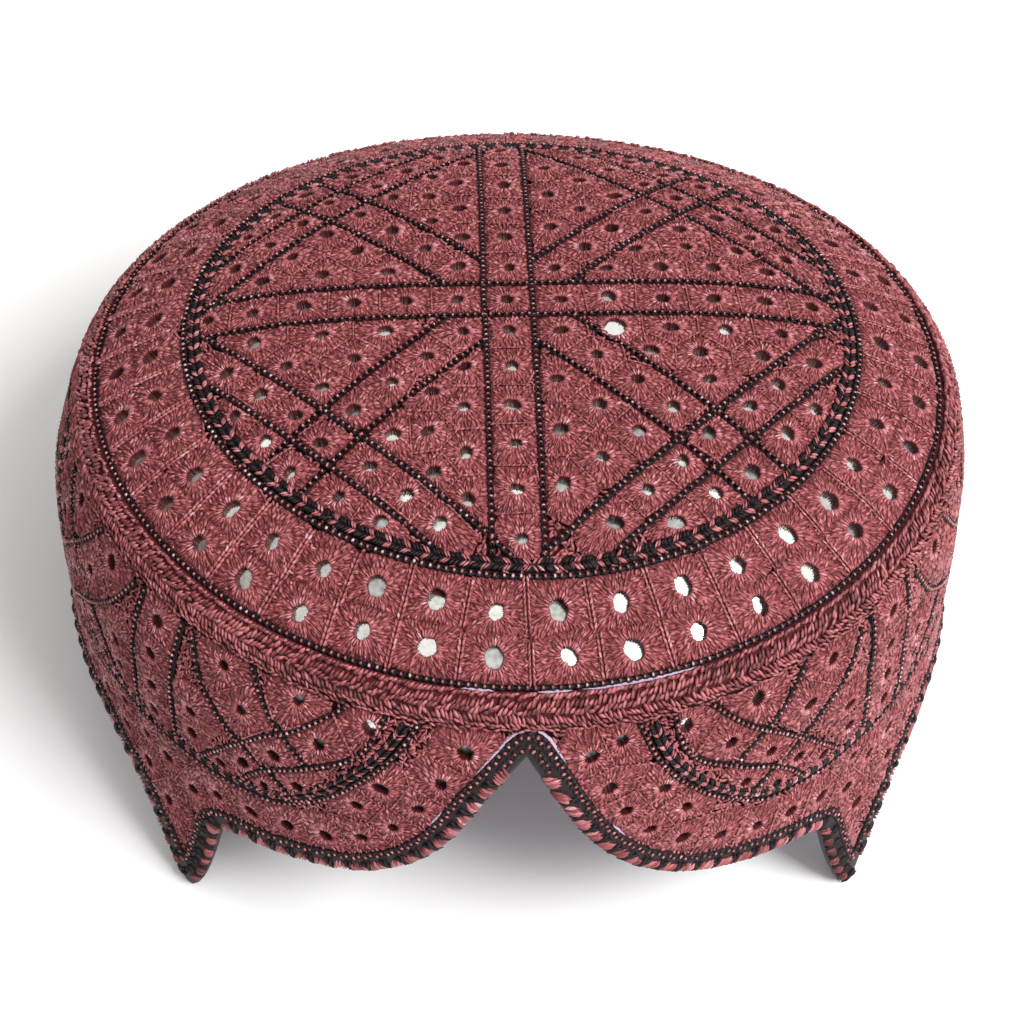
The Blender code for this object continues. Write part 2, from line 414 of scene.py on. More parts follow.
class Graph:
    """A node tree that is built from Python."""

    def __init__(self, tree: bpy.types.NodeTree) -> None:
        """Keeps the tree."""
        self.tree = tree

    def node(self, kind: str, settings: dict | None = None, sockets: dict | None = None) -> Made:
        """Adds a node.

        Args:
            kind: The node's type.
            settings: Its settings, set first. A ramp's stops are (place, colour) pairs.
            sockets: Values or links of its inputs, by name or place.

        Returns:
            The node.
        """
        made = self.tree.nodes.new(kind)
        for name, value in (settings or {}).items():
            if name == "stops":
                self.set_stops(made.color_ramp, value)
            else:
                setattr(made, name, value)
        for name, value in (sockets or {}).items():
            if isinstance(value, Socket):
                self.tree.links.new(value.socket, made.inputs[name])
            else:
                made.inputs[name].default_value = value
        return Made(self, made)

    @staticmethod
    def set_stops(ramp: bpy.types.ColorRamp, stops: Sequence[tuple[float, Colour]]) -> None:
        """Gives a ramp its stops."""
        while len(ramp.elements) < len(stops):
            ramp.elements.new(0.5)
        for element, (place, colour) in zip(ramp.elements, stops):
            element.position = place
            element.color = (*colour, 1.0)


class Paint(Graph):
    """The node tree of one material, with its shader."""

    def __init__(self, name: str) -> None:
        """Starts an empty material with a shader and an output."""
        self.material = bpy.data.materials.new(name)
        self.material.use_nodes = True
        self.material.node_tree.nodes.clear()
        super().__init__(self.material.node_tree)
        self.shader = self.node("ShaderNodeBsdfPrincipled")
        self.node("ShaderNodeOutputMaterial", sockets={"Surface": self.shader.out("BSDF")})
        self.place = self.node("ShaderNodeTexCoord").out("Object")

    def fix(self, **values: object) -> None:
        """Sets the shader's own sockets, whose names have spaces for underscores."""
        for name, value in values.items():
            self.shader.node.inputs[name.replace("_", " ")].default_value = value

    def feed(self, name: str, value: Socket) -> None:
        """Links a varying value to one of the shader's sockets."""
        self.tree.links.new(value.socket, self.shader.node.inputs[name])

    def noise(
        self, size: float, detail: float = 2.0, stretch: Sequence[float] = (1, 1, 1),
        place: Socket | None = None,
    ) -> Socket:
        """Noise whose patches have about this size, stretched by a share along each axis."""
        scale = [1 / s for s in stretch]
        moved = self.node("ShaderNodeMapping", sockets={"Vector": place or self.place, "Scale": scale})
        sockets = {"Vector": moved.out(), "Scale": 1 / size, "Detail": detail}
        return self.node("ShaderNodeTexNoise", sockets=sockets).out("Fac")

    def attribute(self, name: str) -> Socket:
        """A number that the mesh carries at each point."""
        return self.node("ShaderNodeAttribute", {"attribute_name": name}).out("Fac")

    def ramp(self, value: Socket, *stops: tuple[float, Colour]) -> Socket:
        """A colour for each value."""
        return self.node("ShaderNodeValToRGB", {"stops": stops}, {"Fac": value}).out("Color")

    def mix(self, share: Socket, first: "Socket | Colour", second: "Socket | Colour") -> Socket:
        """A colour between two."""
        colours = [c if isinstance(c, Socket) else (*c, 1.0) for c in (first, second)]
        sockets = {0: share, 6: colours[0], 7: colours[1]}
        return self.node("ShaderNodeMix", {"data_type": "RGBA"}, sockets).out(2)

    def bump(self, height: Socket, depth: float, strength: float = 1.0) -> None:
        """Raises the surface by a height between nought and one."""
        sockets = {"Height": height, "Distance": depth, "Strength": strength}
        self.feed("Normal", self.node("ShaderNodeBump", sockets=sockets).out())


@dataclass(frozen=True)
class SilkFinish:
    """Floss silk: dark between the threads, with a soft light on top of them."""

    name: str
    dark: Colour = (0.085, 0.012, 0.014)
    middle: Colour = (0.29, 0.062, 0.069)
    light: Colour = (0.50, 0.16, 0.175)
    pale: Colour = (0.70, 0.42, 0.44)
    roughness: float = 0.46

    def material(self) -> bpy.types.Material:
        """Makes the material. The mesh carries "tone", its thread's share of light."""
        paint = Paint(self.name)
        fibre = paint.noise(0.22 * MM, 3.0)
        patch = paint.noise(7.0 * MM, 2.0)
        shade = (paint.attribute("tone") + (fibre - 0.5) * 0.55 + (patch - 0.5) * 0.45).clamped()
        # The pale top stop is a painted highlight on the lightest stitches, and the dark stop painted shade
        # between them.
        stops = ((0.0, self.dark), (0.42, self.middle), (0.85, self.light), (1.0, self.pale))
        paint.feed("Base Color", paint.ramp(shade, *stops))
        paint.feed("Roughness", self.roughness + 0.12 - fibre * 0.24)
        paint.fix(Sheen_Weight=0.08, Sheen_Roughness=0.4, Specular_IOR_Level=0.45)
        paint.bump(fibre, 0.09 * MM, 0.8)
        return paint.material


@dataclass(frozen=True)
class PadFinish:
    """Silk laid side by side over a pad, each thread running out from the mirror, painted lighter along each
    thread's top as a highlight and darker between threads as shade.
    """

    name: str = "rose_ground"
    dark: Colour = (0.07, 0.009, 0.011)
    middle: Colour = (0.25, 0.050, 0.056)
    light: Colour = (0.45, 0.14, 0.152)
    thread: float = 0.42
    length: float = 1.7
    depth: float = 0.34 * MM

    def material(self) -> bpy.types.Material:
        """Makes the material. The mesh carries "tone", its share of light with the pad's painted shade, and a
        flat map of its threads in millimetres.
        """
        paint = Paint(self.name)
        flat = paint.node("ShaderNodeUVMap", {"uv_map": "threads"}).out()
        threads = paint.noise(1.0, 1.0, (self.thread, self.length, 1.0), flat)
        patch = paint.noise(6.0 * MM, 2.0)
        # Painted light: the noise that raises the threads also makes their tops lighter and the furrows
        # between them darker.
        ridge = ((threads - 0.5) * 3.2 + 0.5).clamped()
        shade = (ridge * 0.8 + paint.attribute("tone") * 0.45 + (patch - 0.5) * 0.4 - 0.2).clamped()
        stops = ((0.0, self.dark), (0.45, self.middle), (1.0, self.light))
        paint.feed("Base Color", paint.ramp(shade, *stops))
        paint.feed("Roughness", 0.64 - ridge * 0.14)
        paint.fix(Specular_IOR_Level=0.3)
        paint.bump(ridge, self.depth)
        return paint.material


@dataclass(frozen=True)
class BlackFinish:
    """Twisted black thread, flecked a little lighter where its fibres are raised."""

    name: str = "black_twist"
    dark: Colour = (0.007, 0.0045, 0.0055)
    light: Colour = (0.034, 0.022, 0.025)

    def material(self) -> bpy.types.Material:
        """Makes the material."""
        paint = Paint(self.name)
        fibre = paint.noise(0.25 * MM, 3.0)
        shade = (fibre * 0.8 + paint.attribute("tone") * 0.4 - 0.15).clamped()
        paint.feed("Base Color", paint.ramp(shade, (0.0, self.dark), (1.0, self.light)))
        paint.feed("Roughness", 0.62 - fibre * 0.2)
        paint.fix(Specular_IOR_Level=0.2)
        paint.bump(fibre, 0.08 * MM, 0.7)
        return paint.material


@dataclass(frozen=True)
class ClothFinish:
    """The base cloth: pale cotton inside, and outside, under the stitches, the silk's dark red darkened as
    painted shade for the gaps between them.
    """

    name: str = "base_cotton"
    cotton: Colour = (0.50, 0.40, 0.52)
    shadow: Colour = (0.30, 0.23, 0.31)
    painted_gap_shade: Colour = (0.075, 0.011, 0.013)
    weave: float = 0.55 * MM
    wave_unit: float = 0.314

    def material(self) -> bpy.types.Material:
        """Makes the material. The mesh carries "bare", one where no stitches cover the cotton."""
        paint = Paint(self.name)
        threads = [
            paint.node(
                "ShaderNodeTexWave",
                {"wave_type": "BANDS", "bands_direction": direction},
                {"Vector": paint.place, "Scale": self.wave_unit / self.weave, "Distortion": 1.2},
            ).out("Fac")
            for direction in ("X", "Z", "DIAGONAL")
        ]
        weave = (threads[0] + threads[1] + threads[2]) * 0.33
        fibre = paint.noise(0.3 * MM, 3.0)
        worn = paint.noise(14 * MM, 3.0)
        shade = (weave * 0.5 + fibre * 0.3 + worn * 0.4).clamped()
        cotton = paint.ramp(shade, (0.15, self.shadow), (0.75, self.cotton))
        bare = paint.attribute("bare")
        # Where stitches cover the cloth, its colour is dark painted shade, seen only in the gaps between
        # them.
        paint.feed("Base Color", paint.mix(bare, self.painted_gap_shade, cotton))
        paint.feed("Roughness", 0.9 - fibre * 0.15)
        paint.fix(Specular_IOR_Level=0.15)
        paint.bump(weave * 0.6 + fibre * 0.4, 0.12 * MM, 0.8)
        return paint.material


@dataclass(frozen=True)
class GlassFinish:
    """Small looking glasses, silvered by hand and a little worn."""

    name: str = "silvered_glass"
    clear: Colour = (0.96, 0.96, 0.91)
    worn: Colour = (0.075, 0.08, 0.078)

    def material(self) -> bpy.types.Material:
        """Makes the material. The mesh carries "tone", how worn each glass is."""
        paint = Paint(self.name)
        speck = paint.noise(1.1 * MM, 4.0)
        wear = (paint.attribute("tone") * 0.9 + (speck - 0.5) * 0.9).clamped()
        paint.feed("Base Color", paint.mix(wear, self.clear, self.worn))
        paint.feed("Roughness", 0.05 + wear * 0.3)
        paint.fix(Metallic=1.0)
        return paint.material


@dataclass(frozen=True)
class FloorFinish:
    """A plain pale floor."""

    name: str = "studio_floor"
    colour: Colour = (0.93, 0.93, 0.93)

    def material(self) -> bpy.types.Material:
        """Makes the material."""
        paint = Paint(self.name)
        grain = paint.noise(0.4, 2.0)
        paint.feed("Base Color", paint.mix(grain, self.colour, tuple(c * 0.985 for c in self.colour)))
        paint.fix(Roughness=0.9, Specular_IOR_Level=0.1)
        return paint.material


@dataclass(frozen=True)
class Finishes:
    """Every finish, made once."""

    rose: bpy.types.Material = field(default_factory=SilkFinish("rose_silk").material)
    ground: bpy.types.Material = field(default_factory=PadFinish().material)
    black: bpy.types.Material = field(default_factory=BlackFinish().material)
    cotton: bpy.types.Material = field(default_factory=ClothFinish().material)
    glass: bpy.types.Material = field(default_factory=GlassFinish().material)


class Thread(NamedTuple):
    """A kind of stitch: its size, and its share of light with how far that goes down and up."""

    width: float
    height: float
    tone: float
    darker: float
    lighter: float

    def shade(self, rng: random.Random) -> float:
        """The share of light of one such stitch."""
        return self.tone + rng.uniform(-self.darker, self.lighter)


class Stitch(NamedTuple):
    """One stitch: where it starts and ends, how wide and high it stands, and its share of light."""

    start: Vector
    end: Vector
    up: Vector
    width: float
    height: float
    tone: float


class StitchTree:
    """The Geometry Nodes tree that lays a thread on every seat of a mesh."""

    def __init__(self) -> None:
        """Builds the tree once."""
        self.tree = bpy.data.node_groups.new("stitches", "GeometryNodeTree")
        self.tree.is_modifier = True
        panel = self.tree.interface
        panel.new_socket("Geometry", in_out="INPUT", socket_type="NodeSocketGeometry")
        self.inputs = {
            name: panel.new_socket(name, in_out="INPUT", socket_type=kind).identifier
            for name, kind in (
                ("Sides", "NodeSocketInt"),
                ("Stations", "NodeSocketInt"),
                ("Unevenness", "NodeSocketFloat"),
                ("Seed", "NodeSocketInt"),
                ("Thread", "NodeSocketMaterial"),
            )
        }
        panel.new_socket("Geometry", in_out="OUTPUT", socket_type="NodeSocketGeometry")
        graph = Graph(self.tree)
        given = graph.node("NodeGroupInput")
        thread = self.thread(graph, given)
        turn = None
        for axis, name in (("X", "along"), ("Z", "up")):
            sockets = {"Vector": self.named(graph, name, "FLOAT_VECTOR")}
            if turn:
                sockets["Rotation"] = turn
            settings = {"axis": axis, "pivot_axis": "X" if turn else "AUTO"}
            turn = graph.node("FunctionNodeAlignRotationToVector", settings, sockets).out()
        uneven = given.out("Unevenness")
        jitter = graph.node(
            "FunctionNodeRandomValue",
            {"data_type": "FLOAT"},
            {2: 1.0 - uneven, 3: uneven + 1.0, "Seed": given.out("Seed")},
        ).out(1)
        size = self.named(graph, "size", "FLOAT_VECTOR")
        scaled = graph.node("ShaderNodeVectorMath", {"operation": "SCALE"}, {0: size, "Scale": jitter})
        seats = graph.node("GeometryNodeMeshToPoints", None, {"Mesh": given.out("Geometry")})
        laid = graph.node(
            "GeometryNodeInstanceOnPoints",
            None,
            {"Points": seats.out(), "Instance": thread, "Rotation": turn, "Scale": scaled.out()},
        )
        real = graph.node("GeometryNodeRealizeInstances", None, {"Geometry": laid.out()})
        soft = graph.node("GeometryNodeSetShadeSmooth", None, {"Geometry": real.out()})
        done = graph.node(
            "GeometryNodeSetMaterial", None, {"Geometry": soft.out(), "Material": given.out("Thread")}
        )
        graph.node("NodeGroupOutput", None, {"Geometry": done.out()})

    @staticmethod
    def named(graph: Graph, name: str, kind: str) -> Socket:
        """An attribute that each seat carries."""
        return graph.node("GeometryNodeInputNamedAttribute", {"data_type": kind}, {"Name": name}).out()

    @staticmethod
    def thread(graph: Graph, given: Made) -> Socket:
        """A thread one long, wide and high, drawn in to nothing at both ends."""
        line = graph.node("GeometryNodeCurvePrimitiveLine", None, {"Start": (-0.5, 0, 0), "End": (0.5, 0, 0)})
        spans = graph.node(
            "GeometryNodeResampleCurve", None, {"Curve": line.out(), "Count": given.out("Stations")}
        )
        factor = graph.node("GeometryNodeSplineParameter").out("Factor")
        across = factor * 2.0 - 1.0
        fatness = (1.0 - across * across).clamped() ** 0.5
        swollen = graph.node("GeometryNodeSetCurveRadius", None, {"Curve": spans.out(), "Radius": fatness})
        ring = graph.node("GeometryNodeCurvePrimitiveCircle", None, {"Resolution": given.out("Sides")})
        ring.node.inputs["Radius"].default_value = 0.5
        tube = graph.node(
            "GeometryNodeCurveToMesh",
            None,
            {"Curve": swollen.out(), "Profile Curve": ring.out(), "Scale": fatness},
        )
        closed = graph.node("GeometryNodeMergeByDistance", None, {"Geometry": tube.out(), "Distance": 0.001})
        return closed.out()


def uneven(rng: random.Random, share: float) -> float:
    """A number about one, off by up to a share."""
    return 1 + share * rng.uniform(-1, 1)


def dress(piece: bpy.types.Object, slot: Slot, *replaced: str) -> bpy.types.Object:
    """Makes a piece ride on the cap, in place of these solids."""
    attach(piece, "root")
    if replaced:
        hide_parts(*replaced)
    LOG.info("%s: %d faces", piece.name, len(piece.data.polygons))
    return piece


def mesh_piece(
    name: str, points: Sequence[Vector], faces: Sequence[Sequence[int]], material: bpy.types.Material
) -> bpy.types.Object:
    """A smooth mesh object at the origin, from its points and faces."""
    mesh = bpy.data.meshes.new(name)
    mesh.from_pydata([tuple(p) for p in points], [], faces)
    mesh.materials.append(material)
    mesh.shade_smooth()
    mesh.update()
    piece = bpy.data.objects.new(name, mesh)
    bpy.context.scene.collection.objects.link(piece)
    return piece


def carry(piece: bpy.types.Object, name: str, values: Sequence[float]) -> None:
    """Gives each point of a mesh a number that its material reads."""
    layer = piece.data.attributes.new(name, "FLOAT", "POINT")
    layer.data.foreach_set("value", values)


class StitchWork:
    """A piece of needlework: many stitches of one thread."""

    tree: StitchTree | None = None

    def __init__(self, name: str, material: bpy.types.Material, sides: int = 3, stations: int = 4) -> None:
        """Starts a piece with no stitches.

        Args:
            name: The piece's name.
            material: Its thread.
            sides: Sides of each thread.
            stations: Rings along each thread, with its two ends.
        """
        self.name = name
        self.material = material
        self.sides = sides
        self.stations = stations
        self.stitches: list[Stitch] = []

    def add(self, start: Vector, end: Vector, up: Vector, width: float, height: float, tone: float) -> None:
        """Adds a stitch between two points."""
        self.stitches.append(Stitch(start, end, up, width, height, tone))

    def sew(
        self, face: Face, start: Vector, end: Vector, width: float, height: float, tone: float,
        lifts: tuple[float, float] = (0.0, 0.0),
    ) -> None:
        """Adds a stitch between two spots of a face, each end this far above it."""
        up = face.up((start + end) / 2)
        first, last = (STAND @ face.point(end) + up * lift for end, lift in zip((start, end), lifts))
        self.add(first, last, up, width, height, tone)

    def make(self, slot: Slot) -> bpy.types.Object:
        """Lays a thread on every seat, as one plain mesh."""
        if StitchWork.tree is None:
            StitchWork.tree = StitchTree()
        middles = [(s.start + s.end) / 2 for s in self.stitches]
        seats = mesh_piece(self.name + "_seats", middles, [], self.material)
        vectors = {
            "along": [(s.end - s.start).normalized() for s in self.stitches],
            "up": [s.up for s in self.stitches],
            "size": [((s.end - s.start).length, s.width, s.height) for s in self.stitches],
        }
        for name, rows in vectors.items():
            layer = seats.data.attributes.new(name, "FLOAT_VECTOR", "POINT")
            layer.data.foreach_set("vector", [x for row in rows for x in row])
        carry(seats, "tone", [s.tone for s in self.stitches])
        modifier = seats.modifiers.new("stitches", "NODES")
        modifier.node_group = StitchWork.tree.tree
        values = {
            "Sides": self.sides, "Stations": self.stations, "Unevenness": 0.08,
            "Seed": SEED, "Thread": self.material,
        }
        for name, value in values.items():
            modifier[StitchWork.tree.inputs[name]] = value
        graph = bpy.context.evaluated_depsgraph_get()
        mesh = bpy.data.meshes.new_from_object(seats.evaluated_get(graph), depsgraph=graph)
        bpy.data.objects.remove(seats)
        for name in vectors:
            if name in mesh.attributes:
                mesh.attributes.remove(mesh.attributes[name])
        mesh.name = self.name
        piece = bpy.data.objects.new(self.name, mesh)
        bpy.context.scene.collection.objects.link(piece)
        return dress(piece, slot)


@dataclass(frozen=True)
class Barrier:
    """A straight run that a cell's stitches stop at, with the space that it takes to each side."""

    start: Vector
    end: Vector
    half_width: float

    def away(self, place: Vector) -> Vector:
        """The way from the nearest point of the run to a spot."""
        run = self.end - self.start
        share = (place - self.start).dot(run) / max(run.length_squared, 1e-12)
        return place - (self.start + run * min(max(share, 0.0), 1.0))


def barriers(path: Sequence[Vector], half_width: float) -> list[Barrier]:
    """The runs of a path as barriers."""
    return [Barrier(a, b, half_width) for a, b in zip(path, path[1:])]


@dataclass(frozen=True)
class MirrorSpot:
    """Where a mirror is sewn: its spot, its window's radius, and its row's number, nought or LARGE."""

    centre: Vector
    window: float
    tier: int = 0
    tries: int = 8
    least_share: float = 0.62

    def settled(self, runs: Sequence[Barrier], margin: float) -> "MirrorSpot | None":
        """The mirror moved clear of the lines near it.

        Args:
            runs: The lines.
            margin: Space to leave between a window and a line.

        Returns:
            The mirror, with a smaller window where it is still too near, or nothing if there is
            no room for one.
        """
        centre = self.centre.copy()
        near = [run for run in runs if run.away(centre).length < 4 * self.window + run.half_width]
        for _ in range(self.tries):
            push = spot(0, 0)
            for run in near:
                away = run.away(centre)
                short = self.window + margin + run.half_width - away.length
                if short > 0:
                    push += away.normalized() * short * 0.5
            centre += push
        room = min((run.away(centre).length - run.half_width - margin for run in near), default=1.0)
        if room < self.least_share * self.window:
            return None
        return MirrorSpot(centre, min(self.window, room), self.tier)


@dataclass
class Cell:
    """One mirror in its own patch of stitches, reaching halfway to its neighbours."""

    centre: Vector
    window: float
    most: float
    tier: int
    oval: float
    turn: float
    neighbours: list[tuple[int, Vector]] = field(default_factory=list)
    barriers: list[Barrier] = field(default_factory=list)
    overrun: float = 0.2 * MM

    def rim(self, angle: float) -> float:
        """The window's radius in a direction: rather oval and rather angular."""
        swing = self.oval * math.cos(2 * (angle - self.turn)) + 0.05 * math.cos(5 * angle + 3 * self.turn)
        return self.window * (1 + swing)

    def reach(self, angle: float) -> tuple[float, int]:
        """How far the patch goes in a direction, and what stops it.

        Args:
            angle: Direction on the flat face.

        Returns:
            The distance, and the neighbour's number, or -1 for a barrier and -2 for open cloth.
        """
        ray = ray_at(angle)
        best, stopped_by = self.most, -2
        for number, offset in self.neighbours:
            toward = offset.dot(ray)
            if toward > 0:
                distance = offset.length_squared / (2 * toward)
                if distance < best:
                    best, stopped_by = distance, number
        for barrier in self.barriers:
            run = barrier.end - barrier.start
            start = barrier.start - self.centre
            turn = ray.x * run.y - ray.y * run.x
            if abs(turn) < 1e-9:
                continue
            distance = (start.x * run.y - start.y * run.x) / turn
            share = (start.x * ray.y - start.y * ray.x) / turn
            over = self.overrun / run.length
            if distance > 0 and -over <= share <= 1 + over:
                distance -= barrier.half_width / max(0.5, abs(turn) / run.length)
                if distance < best:
                    best, stopped_by = distance, -1
        return max(best, self.window * 1.25), stopped_by

    def angles(self, first: float, count: int) -> list[float]:
        """Directions round the cell, evenly spaced but for those moved to its corners."""
        found = [first + math.tau * k / count for k in range(count)]
        stops = [self.reach(angle)[1] for angle in found]
        for k in range(count):
            after = (k + 1) % count
            if stops[k] == stops[after]:
                continue
            low, high = found[k], found[k] + math.tau / count
            for _ in range(4):
                middle = (low + high) / 2
                if self.reach(middle)[1] == stops[k]:
                    low = middle
                else:
                    high = middle
            if low - found[k] < math.pi / count or after == 0:
                found[k] = low
            else:
                found[after] = low
        return found

    def covers(self, place: Vector) -> bool:
        """Whether a spot is on this cell's patch."""
        offset = place - self.centre
        distance = offset.length
        return distance < self.most and distance < self.reach(math.atan2(offset.y, offset.x))[0]


class Quilt:
    """A face covered in cells, each with its mirror, its pad and its rings of stitches."""

    rays: int = 18
    pit: float = -1.35 * MM
    holding: Thread = Thread(0.54 * MM, 0.7 * MM, 0.62, 0.3, 0.3)
    ring_half: float = 0.7 * MM
    holding_pitch: float = 0.56 * MM
    holding_length: float = 1.45 * MM
    spreading: Thread = Thread(0.6 * MM, 0.7 * MM, 0.48, 0.36, 0.34)
    spread_start: float = 1.1 * MM
    spread_step: float = 1.3 * MM
    grounding: Thread = Thread(0.62 * MM, 0.7 * MM, 0.45, 0.35, 0.35)
    ground_half: float = 0.8 * MM
    ground_lift: float = -0.3 * MM
    single_ridge: Thread = Thread(0.52 * MM, 0.7 * MM, 0.52, 0.35, 0.25)
    twin_ridge: Thread = Thread(0.6 * MM, 0.7 * MM, 0.66, 0.35, 0.25)
    ridge_pitch: float = 0.95 * MM
    ridge_half: float = 0.72 * MM
    ridge_overrun: float = 0.7 * MM
    twin_apart: float = 0.72 * MM
    glass_lift: float = -1.2 * MM
    glass_thickness: float = 0.3 * MM
    glass_wear: tuple[float, ...] = (0.05, 0.12, 0.25, 0.6)
    glass_sides: int = 10
    glass_tilt: float = 0.07
    glass_tuck: float = 0.35 * MM
    large_tilt: tuple[float, float, float] = (0.03, -0.22, 0.0)
    ground_pitch: float = 0.76 * MM
    search_square: float = 9 * MM
    patch_pitch: float = 0.86 * MM

    def __init__(
        self, face: Face, name: str, mirrors: Sequence[MirrorSpot], runs: Sequence[Barrier], most: float,
        glass_wear: tuple[float, ...] = glass_wear,
    ) -> None:
        """Fits a cell round every mirror.

        Args:
            face: The face that it lies on.
            name: Start of its pieces' names.
            mirrors: The mirrors.
            runs: Lines that no cell crosses.
            most: The furthest that a cell reaches.
            glass_wear: How worn a glass can be, from nought to one.
        """
        self.face = face
        self.glass_wear = glass_wear
        self.name = name
        self.rng = random.Random(SEED)
        self.cells = []
        self.runs = runs
        near = 2 * most
        for number, mirror in enumerate(mirrors):
            oval, turn = self.rng.uniform(0.02, 0.16), self.rng.uniform(0, math.pi)
            cell = Cell(mirror.centre, mirror.window, most, mirror.tier, oval, turn)
            for other, neighbour in enumerate(mirrors):
                offset = neighbour.centre - mirror.centre
                if other != number and offset.length < near:
                    cell.neighbours.append((other, offset))
            for run in runs:
                middle = (run.start + run.end) / 2 - mirror.centre
                if middle.length - (run.end - run.start).length / 2 < near:
                    cell.barriers.append(run)
            self.cells.append(cell)

    def pads(self, material: bpy.types.Material) -> bpy.types.Object:
        """The silk ground of every cell: a low cushion with a pit for its mirror, painted dark down the pit's
        wall and at the cell's edge as shade.
        """
        points, faces, tones, flat = [], [], [], []
        for cell in self.cells:
            first = len(points)
            up = self.face.up(cell.centre)
            distances = []
            angles = cell.angles(self.rng.uniform(0, math.tau), self.rays)
            for angle in angles:
                edge = cell.reach(angle)[0]
                rim = cell.rim(angle)
                ray = ray_at(angle)
                rise = min(1.0, (edge - rim) / (1.5 * MM))
                # Each row: distance from the middle, lift, share of light.
                # Painted shade: the share of light is darkest down the pit's wall, lightest on the raised
                # lip, and low again in the groove at the cell's edge.
                rows = (
                    (rim * 1.03, self.pit, -3.0),
                    (rim, -0.3 * MM, -1.6),
                    (rim + 0.2 * MM * rise, 0.2 * MM, 0.8),
                    (rim + 0.65 * MM * rise, 0.05 * MM, 0.45),
                    (max(edge - 0.5 * MM, rim * 1.1), -0.08 * MM, 0.3),
                    (edge + 0.15 * MM, -0.32 * MM, 0.1),
                )
                distances.append([distance for distance, _, _ in rows])
                for distance, lift, tone in rows:
                    place = cell.centre + ray * distance
                    points.append(STAND @ self.face.point(place) + up * lift)
                    tones.append(tone)
            count = len(rows)
            for k in range(self.rays):
                after = (k + 1) % self.rays
                here, there = first + k * count, first + after * count
                half = (angles[after] - angles[k]) % math.tau / 2
                shift = self.rng.uniform(0, 300)
                for row in range(count - 1):
                    faces.append((here + row, here + row + 1, there + row + 1, there + row))
                    corners = ((k, row, -1), (k, row + 1, -1), (after, row + 1, 1), (after, row, 1))
                    for at, ring, side in corners:
                        distance = distances[at][ring] / MM
                        flat += [shift + side * math.sin(half) * distance, math.cos(half) * distance]
        piece = mesh_piece(self.name + "_pads", points, faces, material)
        piece.data.uv_layers.new(name="threads").data.foreach_set("uv", flat)
        if piece.data.polygons[2].normal.dot(self.face.up(self.cells[0].centre)) < 0:
            piece.data.flip_normals()
        carry(piece, "tone", tones)
        return dress(piece, Slot.SILK)

    def glasses(self, material: bpy.types.Material) -> bpy.types.Object:
        """The mirrors, each a little out of true, tucked under the stitches round it."""
        points, faces, tones = [], [], []
        for cell in self.cells:
            up = self.face.up(cell.centre)
            centre = STAND @ self.face.point(cell.centre) + up * self.glass_lift
            large = cell.tier == LARGE
            tilt = Vector([self.rng.gauss(0, self.glass_tilt) for _ in range(3)])
            if large:
                tilt = Vector(self.large_tilt)
            normal = (up + tilt).normalized()
            across = normal.orthogonal().normalized()
            beside = normal.cross(across)
            radius = cell.window + self.glass_tuck
            tone = 0.0 if large else self.rng.choice(self.glass_wear)
            first = len(points)
            for lift in (0.0, -self.glass_thickness):
                for k in range(self.glass_sides):
                    angle = math.tau * k / self.glass_sides
                    outward = across * math.cos(angle) + beside * math.sin(angle)
                    points.append(centre + outward * radius + normal * lift)
                    tones.append(tone)
            top = range(first, first + self.glass_sides)
            faces.append(tuple(top))
            faces.append(tuple(k + self.glass_sides for k in reversed(top)))
            for k in range(self.glass_sides):
                a, b = first + k, first + (k + 1) % self.glass_sides
                faces.append((b, a, a + self.glass_sides, b + self.glass_sides))
        piece = mesh_piece(self.name + "_mirrors", points, faces, material)
        piece.data.set_sharp_from_angle(angle=30 * DEGREE)
        carry(piece, "tone", tones)
        return dress(piece, Slot.GLASS)

    def stitch(self, rings: StitchWork, patches: StitchWork) -> None:
        """Sews the rings of radial stitches round every mirror.

        Args:
            rings: Takes the stitches that hold the glass.
            patches: Takes those that fill the cell out to its edge.
        """
        for cell in self.cells:
            self.hold(cell, rings)
            self.spread(cell, patches)

    def hold(self, cell: Cell, work: StitchWork) -> None:
        """The ring of stitches that holds the glass."""
        rng, thread = self.rng, self.holding
        count = round(math.tau * (cell.window + self.ring_half) / self.holding_pitch)
        turn = rng.uniform(0, math.tau)
        for k in range(count):
            angle = turn + math.tau * (k + rng.uniform(-0.22, 0.22)) / count
            edge = cell.reach(angle)[0]
            rim = cell.rim(angle)
            start = rim - 0.16 * MM * uneven(rng, 0.9)
            end = min(rim + self.holding_length * uneven(rng, 0.25), edge)
            if end - start < 0.4 * MM:
                continue
            tone = thread.shade(rng)
            first = cell.centre + ray_at(angle) * start
            last = first + ray_at(angle + rng.gauss(0, 0.07)) * (end - start)
            work.sew(self.face, first, last, thread.width, thread.height, tone, (0.06 * MM, 0.1 * MM))

    def spread(self, cell: Cell, work: StitchWork) -> None:
        """Rings of looser stitches further out, as far as the cell goes."""
        rng, thread = self.rng, self.spreading
        start = self.spread_start
        while start < cell.most:
            count = round(math.tau * (cell.window + start + self.ring_half) / self.patch_pitch)
            turn = rng.uniform(0, math.tau)
            sewn = False
            for k in range(count):
                angle = turn + math.tau * (k + rng.uniform(-0.4, 0.4)) / count
                edge = cell.reach(angle)[0] - 0.1 * MM
                near = cell.window + start + rng.uniform(-0.3, 0.3) * MM
                far = min(near + rng.uniform(1.35, 1.9) * MM, edge)
                if far - near < 0.6 * MM:
                    continue
                sewn = True
                aim = ray_at(angle + rng.gauss(0, 0.42))
                first = cell.centre + ray_at(angle) * near
                tone = thread.shade(rng)
                lift = rng.uniform(-0.1, 0.08) * MM
                lifts = (lift + 0.1 * MM, lift - 0.02 * MM)
                last = first + aim * (far - near)
                work.sew(self.face, first, last, thread.width, thread.height, tone, lifts)
            if not sewn:
                return
            start += self.spread_step

